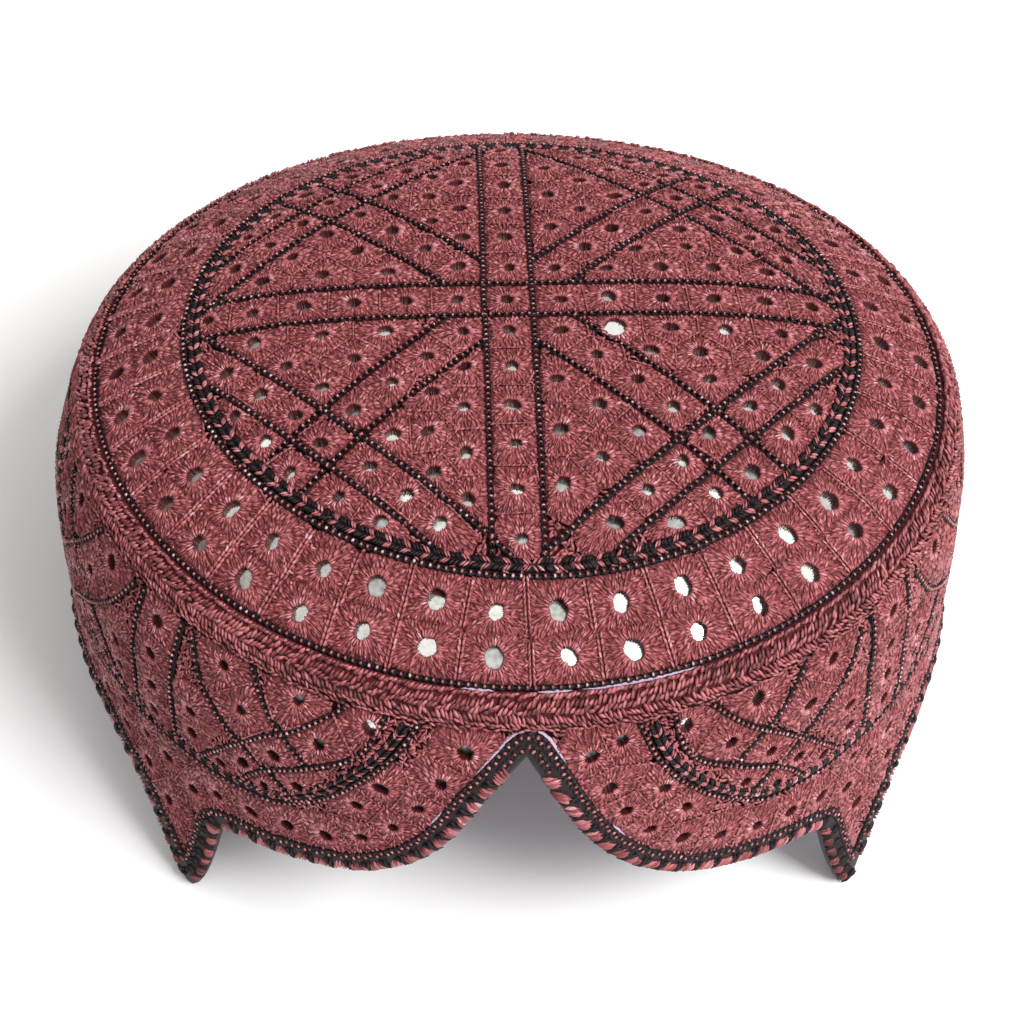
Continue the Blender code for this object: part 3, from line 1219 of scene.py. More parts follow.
    def ground(self, work: StitchWork, places: Iterable[Vector]) -> None:
        """Covers the cloth between the cells and the lines with short loose stitches.

        Args:
            work: Takes the stitches.
            places: Spots all over the face, closer together than a stitch is long.
        """
        rng, thread = self.rng, self.grounding
        taken = set()
        for run in self.runs:
            across = sideways(run.end - run.start).normalized() * run.half_width * 0.6
            for place, _ in walk([run.start, run.end], self.ground_pitch):
                taken.update(self.square(place + across * side) for side in (-1, 0, 1))
        by_square: dict[tuple[int, int], list[Cell]] = {}
        size = self.search_square
        for cell in self.cells:
            at = round(cell.centre.x / size), round(cell.centre.y / size)
            for across in (-1, 0, 1):
                for down in (-1, 0, 1):
                    by_square.setdefault((at[0] + across, at[1] + down), []).append(cell)
        lifts = (self.ground_lift, self.ground_lift)
        for place in places:
            place = place + spot(rng.uniform(-0.3, 0.3) * MM, rng.uniform(-0.3, 0.3) * MM)
            near = by_square.get((round(place.x / size), round(place.y / size)), [])
            if self.square(place) in taken or any(cell.covers(place) for cell in near):
                continue
            half = ray_at(rng.uniform(0, math.pi)) * self.ground_half
            tone = thread.shade(rng)
            work.sew(self.face, place - half, place + half, thread.width, thread.height, tone, lifts)

    def square(self, place: Vector) -> tuple[int, int]:
        """The small square of the face that a spot is in."""
        return round(place.x / self.ground_pitch), round(place.y / self.ground_pitch)

    def ridges(self, work: StitchWork) -> None:
        """A raised row of small stitches along every border between two cells."""
        for number, cell in enumerate(self.cells):
            runs: dict[int, list[tuple[int, Vector]]] = {}
            for k in range(self.rays * 2):
                angle = math.tau * k / (self.rays * 2)
                distance, stopped_by = cell.reach(angle)
                if stopped_by > number:
                    runs.setdefault(stopped_by, []).append((k, cell.centre + ray_at(angle) * distance))
            for other, run in runs.items():
                gaps = [i for i in range(1, len(run)) if run[i][0] - run[i - 1][0] > 1]
                if gaps:
                    run = run[gaps[0]:] + run[: gaps[0]]
                tiers = {cell.tier, self.cells[other].tier}
                if len(run) > 2 and tiers != {1, 2}:
                    path = [place for _, place in run]
                    over = (path[-1] - path[0]).normalized() * self.ridge_overrun
                    self.ridge([path[0] - over, *path, path[-1] + over], work, tiers in ({1}, {2}))

    def ridge(self, path: Path, work: StitchWork, twin: bool) -> None:
        """One raised row, or two side by side."""
        rng = self.rng
        thread = self.twin_ridge if twin else self.single_ridge
        lift = (0.16 if twin else 0.02) * MM
        for side in (-self.twin_apart / 2, self.twin_apart / 2) if twin else (0.0,):
            for place, run in walk(path, self.ridge_pitch):
                across = sideways(run)
                middle = place + across * side
                slant = across * math.copysign(0.16 * MM, side) * rng.uniform(0.3, 1.6)
                half = run * self.ridge_half
                first, last = middle - half - slant, middle + half + slant
                tone = thread.shade(rng)
                work.sew(self.face, first, last, thread.width, thread.height, tone, (lift, lift))


@dataclass(frozen=True)
class CrownPattern:
    """The crown's embroidery in plan: a ring, a cross, spokes and chords between black lines."""

    ring_middle: tuple[float, float] = (0.9 * MM, 0.0)
    outer_ring: float = 65.7 * MM
    chevron_ring: float = 63.7 * MM
    inner_ring: float = 62.3 * MM
    edge_line: float = 82.95 * MM
    rows: tuple[float, float] = (71.5 * MM, 78.7 * MM)
    row_cells: int = 40
    middle: tuple[float, float] = (-1.5 * MM, 0.4 * MM)
    band_half: float = 4.75 * MM
    spoke_half: float = 5.1 * MM
    pitch: float = 9.9 * MM
    reach: int = 6
    spoke_start: float = 13.7 * MM
    spoke_pitch: float = 9.4 * MM
    spoke_mirrors: int = 6
    chord_lines: tuple[float, float] = (45.8 * MM, 54.2 * MM)
    chord_mirrors: float = 50.2 * MM
    chord_reach: int = 3
    chord_bow: float = 0.6 * MM
    large_place: tuple[float, float] = (20.4 * MM, -10.6 * MM)
    field_offset: float = 9.2 * MM
    field_row: float = 6.9 * MM
    field_middle: float = 36.0 * MM
    wide_field: tuple[tuple[int, ...], float] = ((4, 3, 1), 10.6 * MM)
    narrow_field: tuple[tuple[int, ...], float] = ((3, 2, 1), 12.6 * MM)
    lens_distance: float = 58.0 * MM
    lens_places: tuple[float, float] = (10.2 * MM, 19.6 * MM)
    row_window: float = 1.55 * MM
    window: float = 1.35 * MM
    large_window: float = 2.3 * MM
    least: float = 5.2 * MM

    def centre(self) -> Vector:
        """The crossing of the cross, a little off the ring's middle."""
        return spot(*self.middle)

    def to_ring(self, start: Vector, direction: Vector) -> Vector:
        """Where a line from a spot meets the ring of chevrons."""
        off = start - spot(*self.ring_middle)
        toward = off.dot(direction)
        return start + direction * (math.sqrt(toward**2 - off.length_squared + self.inner_ring**2) - toward)

    def ring(self, radius: float, start: float = 0, end: float = 360) -> Path:
        """A stretch of a ring about the middle of the chevrons."""
        return [place + spot(*self.ring_middle) for place in arc(radius, start, end)]

    def chevrons(self) -> list[Path]:
        """The two halves of the chevron ring, which both run from the back to the front."""
        return [self.ring(self.chevron_ring, side * 180, 0) for side in (-1, 1)]

    def lines(self) -> list[Path]:
        """The straight black lines inside the ring."""
        found = []
        centre = self.centre()
        for direction in (spot(1, 0), spot(0, 1)):
            for side in (-1, 1):
                start = centre + sideways(direction) * side * self.band_half
                found.append([self.to_ring(start, -direction), self.to_ring(start, direction)])
        half = math.sqrt(0.5)
        for right in (-1, 1):
            for back in (-1, 1):
                out = spot(right * half, back * half)
                for side, corner in ((-1, spot(1, 0)), (1, spot(0, 1))):
                    across = sideways(out) * side * self.spoke_half
                    first = centre + across + out * (self.spoke_half + self.band_half / half)
                    found.append([first, self.to_ring(first, out)])
                found += self.chord(out)
        return found

    def chord(self, out: Vector) -> list[Path]:
        """The two lines of the chord that crosses one spoke."""
        found = []
        for distance in self.chord_lines:
            middle = out * distance
            first, last = (self.to_ring(middle, sideways(out) * side) for side in (-1, 1))
            found.append(smooth_path([first, middle + out * self.chord_bow, last], 3 * MM))
        return found

    def mirrors(self, rng: random.Random, runs: Sequence[Barrier]) -> list[MirrorSpot]:
        """Every mirror of the crown, clear of its lines."""
        found = [MirrorSpot(place, self.row_window, tier) for tier, place in self.row_places()]
        found += [MirrorSpot(place, self.window) for place in self.inner_places()]
        moved = []
        for mirror in found:
            shift = spot(rng.gauss(0, 0.28 * MM), rng.gauss(0, 0.28 * MM))
            window = mirror.window * rng.uniform(0.84, 1.14)
            settled = MirrorSpot(mirror.centre + shift, window, mirror.tier).settled(runs, 0.5 * MM)
            if settled and all((settled.centre - m.centre).length > self.least for m in moved):
                moved.append(settled)
        large = min(moved, key=lambda m: (m.centre - spot(*self.large_place)).length)
        moved[moved.index(large)] = MirrorSpot(large.centre, self.large_window, LARGE)
        return moved

    def row_places(self) -> Iterable[tuple[int, Vector]]:
        """The two rows round the ring, numbered."""
        for tier, radius in enumerate(self.rows, 1):
            for cell in range(self.row_cells):
                azimuth = math.tau * (cell + 0.5) / self.row_cells
                yield tier, spot(radius * math.sin(azimuth), -radius * math.cos(azimuth))

    def inner_places(self) -> Iterable[Vector]:
        """The cross, the spokes, the chords, the lenses and the fields inside the ring."""
        centre = self.centre()
        for k in range(-self.reach, self.reach + 1):
            yield centre + spot(k * self.pitch, 0)
            if k:
                yield centre + spot(0, k * self.pitch)
        half = math.sqrt(0.5)
        for right in (-1, 1):
            for back in (-1, 1):
                out = spot(right * half, back * half)
                across = sideways(out)
                for k in range(self.spoke_mirrors):
                    yield centre + out * (self.spoke_start + k * self.spoke_pitch)
                for k in range(-self.chord_reach, self.chord_reach + 1):
                    if k:
                        yield out * self.chord_mirrors + across * k * self.spoke_pitch
                for place in self.lens_places:
                    yield out * self.lens_distance + across * place
                    yield out * self.lens_distance - across * place
                beside_row = self.narrow_field if right < 0 else self.wide_field
                beside_column = self.wide_field if right < 0 else self.narrow_field
                for along, away in self.field(*beside_row):
                    yield centre + spot(right * along, back * away)
                for along, away in self.field(*beside_column):
                    yield centre + spot(right * away, back * along)

    def field(self, counts: Sequence[int], step: float) -> Iterable[tuple[float, float]]:
        """A triangle of mirrors, as (along the cross band, away from it)."""
        for row, count in enumerate(counts):
            for k in range(count):
                along = self.field_middle + (k - (count - 1) / 2) * step
                yield along, self.field_offset + self.field_row * row


@dataclass(frozen=True)
class DottedLine:
    """A black chain line: two rows of slanting black stitches with a rose dot in every link."""

    width: float = 1.3 * MM
    pitch: float = 1.5 * MM
    lift: float = 0.0
    rows: tuple[float, ...] = (0.0,)
    dot: float = 0.72 * MM
    tone: float = 0.88
    ground: float = 0.37

    def sew(self, face: Face, path: Path, black: StitchWork, dots: StitchWork, rng: random.Random) -> None:
        """Sews the line along a path of spots: two stitches that part forwards, and a dot on them."""
        for number, (place, run) in enumerate(walk(path, self.pitch)):
            across = sideways(run)
            for side in (-1, 1):
                first = place - run * self.pitch * 0.55 + across * side * self.width * 0.2
                last = place + run * self.pitch * 0.5 + across * side * self.width * 0.33
                height = 0.6 * MM * uneven(rng, 0.2)
                black.sew(
                    face, first, last, self.width * 0.46 * uneven(rng, 0.2), height, rng.random(),
                    (self.lift - 0.06 * MM, self.lift + 0.06 * MM),
                )
            off = self.rows[number % len(self.rows)] + self.width * rng.uniform(-0.04, 0.04)
            half = (across + run * rng.uniform(-0.3, 0.3)) * self.dot / 2 * uneven(rng, 0.15)
            middle = place + across * off + run * self.pitch * rng.uniform(-0.1, 0.1)
            lift = self.lift + 0.2 * MM
            dots.sew(
                face, middle - half, middle + half, 0.6 * MM, 0.5 * MM,
                self.tone + rng.uniform(-0.35, 0.25), (lift, lift),
            )


@dataclass(frozen=True)
class ChevronBand:
    """Black arrow heads between rose ones, all pointing along a path."""

    pitch: float = 3.7 * MM
    half_width: float = 1.3 * MM
    strokes: tuple[tuple[float, bool, float], ...] = (
        (-0.26, True, 0.95), (-0.08, True, 0.95), (0.1, True, 0.8), (0.28, False, 0.62), (0.44, False, 0.55),
    )

    def sew(self, face: Face, path: Path, black: StitchWork, rose: StitchWork, rng: random.Random) -> None:
        """Sews the band along a path of spots."""
        for place, run in walk(path, self.pitch):
            for share, dark, width in self.strokes:
                work, tone = (black, 0.3) if dark else (rose, 0.68)
                tip = place + run * (share * self.pitch + rng.uniform(-0.2, 0.2) * MM)
                self.arrow(face, tip, run, work, width * MM * uneven(rng, 0.12), tone, rng)

    def arrow(
        self, face: Face, tip: Vector, run: Vector, work: StitchWork, width: float, tone: float,
        rng: random.Random,
    ) -> None:
        """Two stitches that meet in a point."""
        for side in (-1, 1):
            foot = tip - run * 1.1 * MM * uneven(rng, 0.2) + sideways(run) * side * self.half_width
            work.sew(
                face, tip + run * 0.15 * MM, foot, width, 0.8 * MM, tone + rng.uniform(-0.2, 0.2),
                (0.04 * MM, 0.0),
            )


class Ribbons:
    """Flat strips over a face, as one mesh."""

    def __init__(self) -> None:
        """Starts with nothing."""
        self.points: list[Vector] = []
        self.faces: list[tuple[int, ...]] = []

    def add(self, face: Face, path: Path, half_width: float, lift: float, taper: float = 0.0) -> None:
        """Lays a ribbon along a path of spots, drawn in at both ends by a power of the way to them."""
        first = len(self.points)
        for k, place in enumerate(path):
            run = (path[min(k + 1, len(path) - 1)] - path[max(k - 1, 0)]).normalized()
            across = sideways(run) * half_width * max(0.02, math.sin(math.pi * k / (len(path) - 1))) ** taper
            for side, drop in ((-1.25, 0.6), (-0.9, 0.0), (0.9, 0.0), (1.25, 0.6)):
                self.points.append(face.place(place + across * side, lift - drop * MM))
        for k in range(len(path) - 1):
            for row in range(3):
                a = first + k * 4 + row
                self.faces.append((a, a + 4, a + 5, a + 1))

    def make(self, name: str, material: bpy.types.Material, slot: Slot, **carried: float) -> bpy.types.Object:
        """The ribbons as one piece, all of whose points carry these numbers."""
        piece = mesh_piece(name, self.points, self.faces, material)
        for title, value in carried.items():
            carry(piece, title, [value] * len(self.points))
        return dress(piece, slot)


def rings_mesh(
    name: str, rows: Sequence[Sequence[Vector]], material: bpy.types.Material, title: str,
    values: Sequence[float],
) -> bpy.types.Object:
    """A closed mesh from rows of points, each once round the cap, the last joined to the first.

    Args:
        name: The piece's name.
        rows: The rows of points.
        material: Its material.
        title: Name of the number that each point carries.
        values: That number for each row.

    Returns:
        The mesh, with its doubles merged and its faces outwards.
    """
    around = len(rows[0])
    faces = []
    for row in range(len(rows)):
        here, after = row * around, (row + 1) % len(rows) * around
        for k in range(around):
            there = (k + 1) % around
            faces.append((here + k, here + there, after + there, after + k))
    piece = mesh_piece(name, [point for row in rows for point in row], faces, material)
    carry(piece, title, [value for value in values for _ in range(around)])
    bm = bmesh.new()
    bm.from_mesh(piece.data)
    bmesh.ops.remove_doubles(bm, verts=bm.verts, dist=1e-6)
    bmesh.ops.recalc_face_normals(bm, faces=bm.faces)
    bm.to_mesh(piece.data)
    bm.free()
    return piece


def shell(
    name: str, face: Face, rows: Sequence[tuple[Path, float]], depth: float, material: bpy.types.Material
) -> bpy.types.Object:
    """A closed wall of cloth round the cap.

    Args:
        name: The piece's name.
        face: The face that it lies on.
        rows: Rows of spots once round the cap, each with its lift.
        depth: How far below the face its inner side lies.
        material: Its cloth.

    Returns:
        The wall, whose points carry "bare": one on the inner face, short of its edges.
    """
    outer = [[face.place(place, lift) for place in places] for places, lift in rows]
    inner = [[face.place(place, -depth) for place in places] for places, _ in rows]
    # Nought on the outer face and at its edges, which the cloth's material paints dark red as shade for the
    # gaps between stitches.
    bare = [float(row > len(outer)) for row in range(2 * len(outer))]
    if (inner[0][0] - inner[0][1]).length > 0.1 * MM:
        bare[-1] = 0.0
    return rings_mesh(name, [*outer, *reversed(inner)], material, "bare", bare)


@dataclass(frozen=True)
class Embroidery:
    """Everything sewn on one face: its cells, its dotted lines and its chevrons."""

    name: str
    face: Face
    finishes: Finishes
    lines: list[tuple[Path, DottedLine]]
    chevrons: list[Path]
    band: ChevronBand
    ribbon_lift: float = -0.25 * MM
    band_ground: float = 0.9 * MM
    band_lift: float = -0.3 * MM

    def sew(self, quilt: Quilt, places: Iterable[Vector], rng: random.Random) -> list[bpy.types.Object]:
        """Sews the face.

        Args:
            quilt: Its cells.
            places: Spots all over it, for the ground stitches.
            rng: Gives the lines their unevenness.

        Returns:
            The pieces.
        """
        pads, glasses = quilt.pads(self.finishes.ground), quilt.glasses(self.finishes.glass)
        kinds = ("ring_stitches", "patch_stitches", "ridges")
        rings, patches, ridges = (StitchWork(f"{self.name}_{kind}", self.finishes.rose) for kind in kinds)
        quilt.stitch(rings, patches)
        quilt.ridges(ridges)
        quilt.ground(rings, places)
        black = StitchWork(f"{self.name}_black_lines", self.finishes.black)
        ribbons = Ribbons()
        for path, line in self.lines:
            line.sew(self.face, path, black, ridges, rng)
            ribbons.add(self.face, path, line.width * line.ground, self.ribbon_lift)
        for path in self.chevrons:
            ribbons.add(self.face, path, self.band_ground, self.band_lift)
            self.band.sew(self.face, path, black, ridges, rng)
        grounds = (f"{self.name}_line_ground", self.finishes.black, Slot.BLACK)
        rose = [work.make(Slot.SILK) for work in (rings, patches, ridges)]
        return [pads, glasses, *rose, black.make(Slot.BLACK), ribbons.make(*grounds, tone=0.0)]


@dataclass(frozen=True)
class Crown:
    """The round top, with its base cloth, its cells, its black lines and its chevrons."""

    finishes: Finishes
    pattern: CrownPattern = CrownPattern()
    cloth_lift: float = -1.4 * MM
    lap: float = 0.9 * MM
    columns: int = 96
    rings: int = 16
    cut: float = 186 * MM
    inner_line: DottedLine = DottedLine(tone=0.74)
    ring_line: DottedLine = DottedLine(tone=0.9)
    edge_line: DottedLine = DottedLine(width=1.05 * MM, dot=0.62 * MM, tone=0.76)
    line_room: float = 0.54
    cell_reach: float = 8.5 * MM
    chevron_half: float = 1.15 * MM

    def cloth(self) -> bpy.types.Object:
        """The base cloth, one round of cotton."""
        rows = []
        for ring in range(self.rings + 1):
            radius = (CAP.seam_radius + self.lap) * ring / self.rings
            rows.append((arc(radius, 0, 360, 360 / self.columns)[:-1], self.cloth_lift))
        piece = shell("crown_cloth", CROWN, rows, CAP.cloth, self.finishes.cotton)
        return dress(piece, Slot.SILK, "crown")

    def make(self) -> None:
        """Builds the crown's pieces."""
        rng = random.Random(SEED)
        pattern = self.pattern
        edge = arc(pattern.edge_line, 0, 360)
        lines = [(path, self.inner_line) for path in pattern.lines()]
        lines += [(pattern.ring(pattern.outer_ring), self.ring_line), (edge, self.edge_line)]
        chevrons = pattern.chevrons()
        runs = [run for path, line in lines for run in barriers(path, line.width * self.line_room)]
        runs += [run for path in chevrons for run in barriers(path, self.chevron_half)]
        quilt = Quilt(CROWN, "crown", pattern.mirrors(rng, runs), runs, self.cell_reach)
        cloth = self.cloth()
        work = Embroidery("crown", CROWN, self.finishes, lines, chevrons, ChevronBand())
        sewn = work.sew(quilt, self.all_over(quilt.ground_pitch), rng)

    def all_over(self, pitch: float) -> Iterable[Vector]:
        """Spots all over the crown."""
        count = math.ceil(CAP.seam_radius / pitch)
        for across in range(-count, count + 1):
            for back in range(-count, count + 1):
                place = spot(across * pitch, back * pitch)
                if place.length < self.pattern.edge_line:
                    yield place


class LineRow(NamedTuple):
    """A spot of a line on the side: degrees from the motif's middle, and depth."""

    away: float
    depth: float


def line_rows(*rows: tuple[float, float]) -> tuple[LineRow, ...]:
    """The spots of a line, each from its degrees and its depth in millimetres."""
    return tuple(LineRow(away, depth * MM) for away, depth in rows)


@dataclass(frozen=True)
class Motif:
    """A half round of mirror work on the side, hung from the seam, the same on both halves."""

    middle: float
    half_width: float = 36.0
    drawn_half_width: float = 36.0
    border: tuple[LineRow, ...] = line_rows(
        (36.2, 5.6), (33.8, 13.5), (31.0, 20.0), (27.5, 26.5), (23.5, 32.0), (18.5, 36.8), (9.0, 38.6),
        (0.0, 38.8),
    )
    inner: tuple[LineRow, ...] = line_rows(
        (32.0, 5.6), (31.0, 11.5), (29.0, 16.3), (25.0, 21.0), (22.0, 24.2), (19.0, 27.0), (16.0, 31.3),
        (13.5, 37.0),
    )
    low_inner: tuple[LineRow, ...] = line_rows((25.0, 26.0), (24.0, 30.5), (20.0, 34.2), (14.5, 35.6))
    lattice: tuple[tuple[LineRow, ...], ...] = (
        line_rows((27.5, 5.6), (22.0, 13.8), (17.5, 19.5), (13.0, 26.6), (7.5, 36.8)),
        line_rows((14.5, 5.6), (17.5, 12.0), (21.5, 18.5), (24.0, 22.5)),
        line_rows((5.5, 7.0), (8.5, 15.0), (14.0, 23.5), (19.5, 30.0), (21.5, 33.4)),
        line_rows((3.6, 6.0), (3.6, 20.0), (3.6, 37.0)),
    )
    mirrors: tuple[LineRow, ...] = line_rows(
        (30.5, 8.2), (21.5, 7.6), (10.8, 8.4), (25.0, 15.2), (14.3, 15.4), (19.2, 22.6), (22.3, 28.2),
        (14.8, 29.0), (11.0, 33.6), (7.2, 24.0), (7.0, 30.6), (17.6, 33.2), (0.0, 9.5), (0.0, 17.5),
        (0.0, 25.5), (0.0, 33.0),
    )
    band_inset: float = 1.95 * MM

    def spots(self, rows: Sequence[LineRow], side: int) -> Path:
        """The rows as spots on one half of the motif."""
        stretch = self.half_width / self.drawn_half_width
        return [WALL.at(self.middle + side * row.away * stretch, row.depth) for row in rows]

    def lines(self) -> list[Path]:
        """The dotted black lines of both halves."""
        rows = (self.border, self.inner, self.low_inner, *self.lattice)
        return [smooth_path(self.spots(line, side)) for line in rows for side in (-1, 1)]

    def chevrons(self) -> list[Path]:
        """The two paths of chevrons between the border's lines, from the seam down."""
        found = []
        for side in (-1, 1):
            outer = smooth_path(self.spots(self.border, side))
            moved = [place + self.inward(outer, k) * self.band_inset for k, place in enumerate(outer)]
            found.append(moved[1:-1])
        return found

    def inward(self, path: Path, k: int) -> Vector:
        """Which way the motif's inside is, from its border."""
        run = (path[min(k + 1, len(path) - 1)] - path[max(k - 1, 0)]).normalized()
        across = sideways(run)
        middle = WALL.at(self.middle, 12 * MM)
        return across if across.dot(middle - path[k]) > 0 else -across

    def places(self) -> list[Vector]:
        """The mirrors of both halves."""
        found = []
        for row in self.mirrors:
            sides = (-1, 1) if row.away else (1,)
            found += [self.spots([row], side)[0] for side in sides]
        return found


@dataclass(frozen=True)
class SideWall:
    """The cloth round the head, with its motifs, its cells and its rows along the rim."""

    finishes: Finishes
    motifs: tuple[Motif, ...] = (Motif(49.0), Motif(-49.0), Motif(131.0), Motif(-131.0))
    side_lines: tuple[tuple[LineRow, ...], ...] = (
        line_rows((86.0, 6.5), (90.0, 8.2), (96.3, 9.0)),
        line_rows((85.6, 16.0), (88.0, 18.6), (99.0, 19.4)),
    )
    top: float = 5.4 * MM
    lap: float = 0.4 * MM
    cloth_lift: float = -1.4 * MM
    columns: int = 300
    rows: int = 9
    line_half: float = 0.66 * MM
    chevron_half: float = 1.0 * MM
    edge_half: float = 0.15 * MM
    foot_lap: float = 0.3 * MM
    line: DottedLine = DottedLine(width=1.25 * MM, pitch=1.35 * MM, tone=0.72, ground=0.36)
    band: ChevronBand = ChevronBand(pitch=3.0 * MM, half_width=1.05 * MM)
    cell_reach: float = 7.2 * MM
    glass_wear: tuple[float, ...] = (0.3, 0.75, 0.9, 1.0, 1.0)
    cell_pitch: float = 8.4 * MM
    row_inset: tuple[float, ...] = (9.6 * MM, 17.6 * MM)
    row_clear: float = 2.4 * MM
    grid_rows: int = 8
    grid_start: float = 3.6 * MM
    grid_pitch: float = 7.3 * MM
    grid_foot: float = 3.4 * MM
    top_clear: float = 2.2 * MM
    clear: float = 6.2 * MM
    line_clear: float = 2.9 * MM
    rim_clear: float = 1.7 * MM
    window: float = 1.3 * MM
    cut: tuple[float, float] = (596 * MM, 84 * MM)
    area: float = 0.0295

    def edge(self, azimuth: float, inset: float) -> float:
        """Depth of the wall's lower edge, inside the binding."""
        return CAP.inset_depth(azimuth, CAP.binding_width + inset)

    def cloth(self) -> bpy.types.Object:
        """The base cloth, one strip of cotton with its arched edge."""
        turns = [math.tau * k / self.columns for k in range(self.columns)]
        edges = [self.edge(turn, -self.lap) for turn in turns]
        start = self.top - 2 * self.lap
        rows = []
        for row in range(self.rows + 1):
            depths = [start + (edge - start) * row / self.rows for edge in edges]
            places = [spot(turn * WALL.radius, depth) for turn, depth in zip(turns, depths)]
            rows.append((places, self.cloth_lift))
        piece = shell("wall_cloth", WALL, rows, CAP.cloth, self.finishes.cotton)
        return dress(piece, Slot.SILK, "side_wall")

    def mirrors(self, lines: Sequence[Path], rng: random.Random) -> list[MirrorSpot]:
        """The motifs' mirrors, rows along the rim, and more wherever there is room."""
        found = [place for motif in self.motifs for place in motif.places()]
        for inset in self.row_inset:
            path = [place for place in WALL.rim_path(inset) if place.y > self.top + self.row_clear]
            for place, _ in walk(path, self.cell_pitch):
                self.try_place(place, found, lines)
        for row in range(self.grid_rows):
            depth = self.top + self.grid_start + row * self.grid_pitch
            count = round(math.tau * WALL.radius / self.cell_pitch)
            for k in range(count):
                turn = -math.pi + math.tau * (k + 0.5 * (row % 2)) / count
                if depth < self.edge(turn, self.grid_foot):
                    self.try_place(spot(turn * WALL.radius, depth), found, lines)
        mirrors = []
        for place in found:
            place = place + spot(rng.gauss(0, 0.22 * MM), rng.gauss(0, 0.22 * MM))
            if place.y < self.edge(place.x / WALL.radius, self.rim_clear):
                mirrors.append(MirrorSpot(place, self.window * rng.uniform(0.85, 1.15)))
        return mirrors

    def all_over(self, pitch: float) -> Iterable[Vector]:
        """Spots all over the wall."""
        around = math.pi * WALL.radius
        count = math.ceil(around / pitch)
        for across in range(-count, count):
            foot = self.edge(across * pitch / WALL.radius, 0.1 * MM)
            for down in range(math.ceil((foot - self.top) / pitch)):
                yield spot(across * pitch, self.top + down * pitch)

    def try_place(self, place: Vector, found: list[Vector], lines: Sequence[Path]) -> None:
        """Adds a mirror where neither another nor a line is too near."""
        if any((place - other).length < self.clear for other in found):
            return
        if any((place - other).length < self.line_clear for path in lines for other in path):
            return
        if place.y >= self.top + self.top_clear:
            found.append(place)

    def make(self) -> None:
        """Builds the wall's pieces."""
        rng = random.Random(SEED + 1)
        lines = [path for motif in self.motifs for path in motif.lines()]
        lines += [
            smooth_path([WALL.at(side * row.away, row.depth) for row in rows])
            for rows in self.side_lines
            for side in (-1, 1)
        ]
        chevrons = [path for motif in self.motifs for path in motif.chevrons()]
        edges = (WALL.level(self.top, 180), WALL.rim_path(CAP.binding_width - self.foot_lap))
        runs = [run for path in lines for run in barriers(path, self.line_half)]
        runs += [run for path in chevrons for run in barriers(path, self.chevron_half)]
        runs += [run for path in edges for run in barriers(path, self.edge_half)]
        mirrors = self.mirrors([*lines, *chevrons], rng)
        quilt = Quilt(WALL, "wall", mirrors, runs, self.cell_reach, self.glass_wear)
        cloth = self.cloth()
        sewable = [(path, self.line) for path in lines]
        work = Embroidery("wall", WALL, self.finishes, sewable, chevrons, self.band)
        sewn = work.sew(quilt, self.all_over(quilt.ground_pitch), rng)


class BraidRow(NamedTuple):
    """A row of slanting stitches round the seam: its depth, their size, slant and spacing."""

    depth: float
    length: float
    width: float
    slant: float
    pitch: float


@dataclass(frozen=True)
class SeamBraid:
    """The rows of chain stitch that cover the seam between crown and side."""

    finishes: Finishes
    columns: int = 180
    section: tuple[tuple[float, float], ...] = (
        (0.0, -0.4 * MM), (1.4 * MM, -0.15 * MM), (2.6 * MM, -0.25 * MM), (3.9 * MM, -0.1 * MM),
        (5.2 * MM, -0.4 * MM),
    )
    rows: tuple[BraidRow, ...] = tuple(
        BraidRow(depth * MM, length * MM, width * MM, slant, pitch * MM)
        for depth, length, width, slant, pitch in (
            (0.15, 1.7, 0.85, -0.5, 0.85),
            (1.25, 1.7, 0.85, -0.85, 0.9),
            (2.1, 1.7, 0.9, -0.6, 0.9),
            (3.2, 2.0, 0.9, 0.85, 0.85),
            (4.15, 1.8, 0.75, 0.5, 0.95),
            (4.95, 1.8, 0.65, 0.1, 1.1),
        )
    )
    thickness: float = 3.0 * MM

    def make(self) -> None:
        """Builds the braid's base and its stitches."""
        turns = [math.tau * k / self.columns for k in range(self.columns)]
        rows = [([spot(turn * WALL.radius, depth) for turn in turns], lift) for depth, lift in self.section]
        # The core's outer face shows the cloth's painted shade between the braid's stitches.
        base = shell("seam_braid_core", WALL, rows, self.thickness, self.finishes.cotton)
        dress(base, Slot.BRAID, "seam_braid")
        rng = random.Random(SEED + 2)
        work = StitchWork("seam_braid_stitches", self.finishes.rose)
        for row in self.rows:
            for place, run in walk(WALL.level(row.depth, 120), row.pitch):
                turn = row.slant + rng.gauss(0, 0.24)
                half = ray_at(turn) * row.length * uneven(rng, 0.12) / 2
                middle = place + sideways(run) * rng.gauss(0, 0.16) * MM
                tone = 0.46 + rng.uniform(-0.4, 0.36)
                width = row.width * uneven(rng, 0.15)
                lift = rng.uniform(0.0, 0.35) * MM
                work.sew(WALL, middle - half, middle + half, width, 1.0 * MM, tone, (lift, lift + 0.15 * MM))
        work.make(Slot.BRAID)


class BindingRow(NamedTuple):
    """A point of the binding's section: its share of the way to the rim, and its lift."""

    share: float
    lift: float


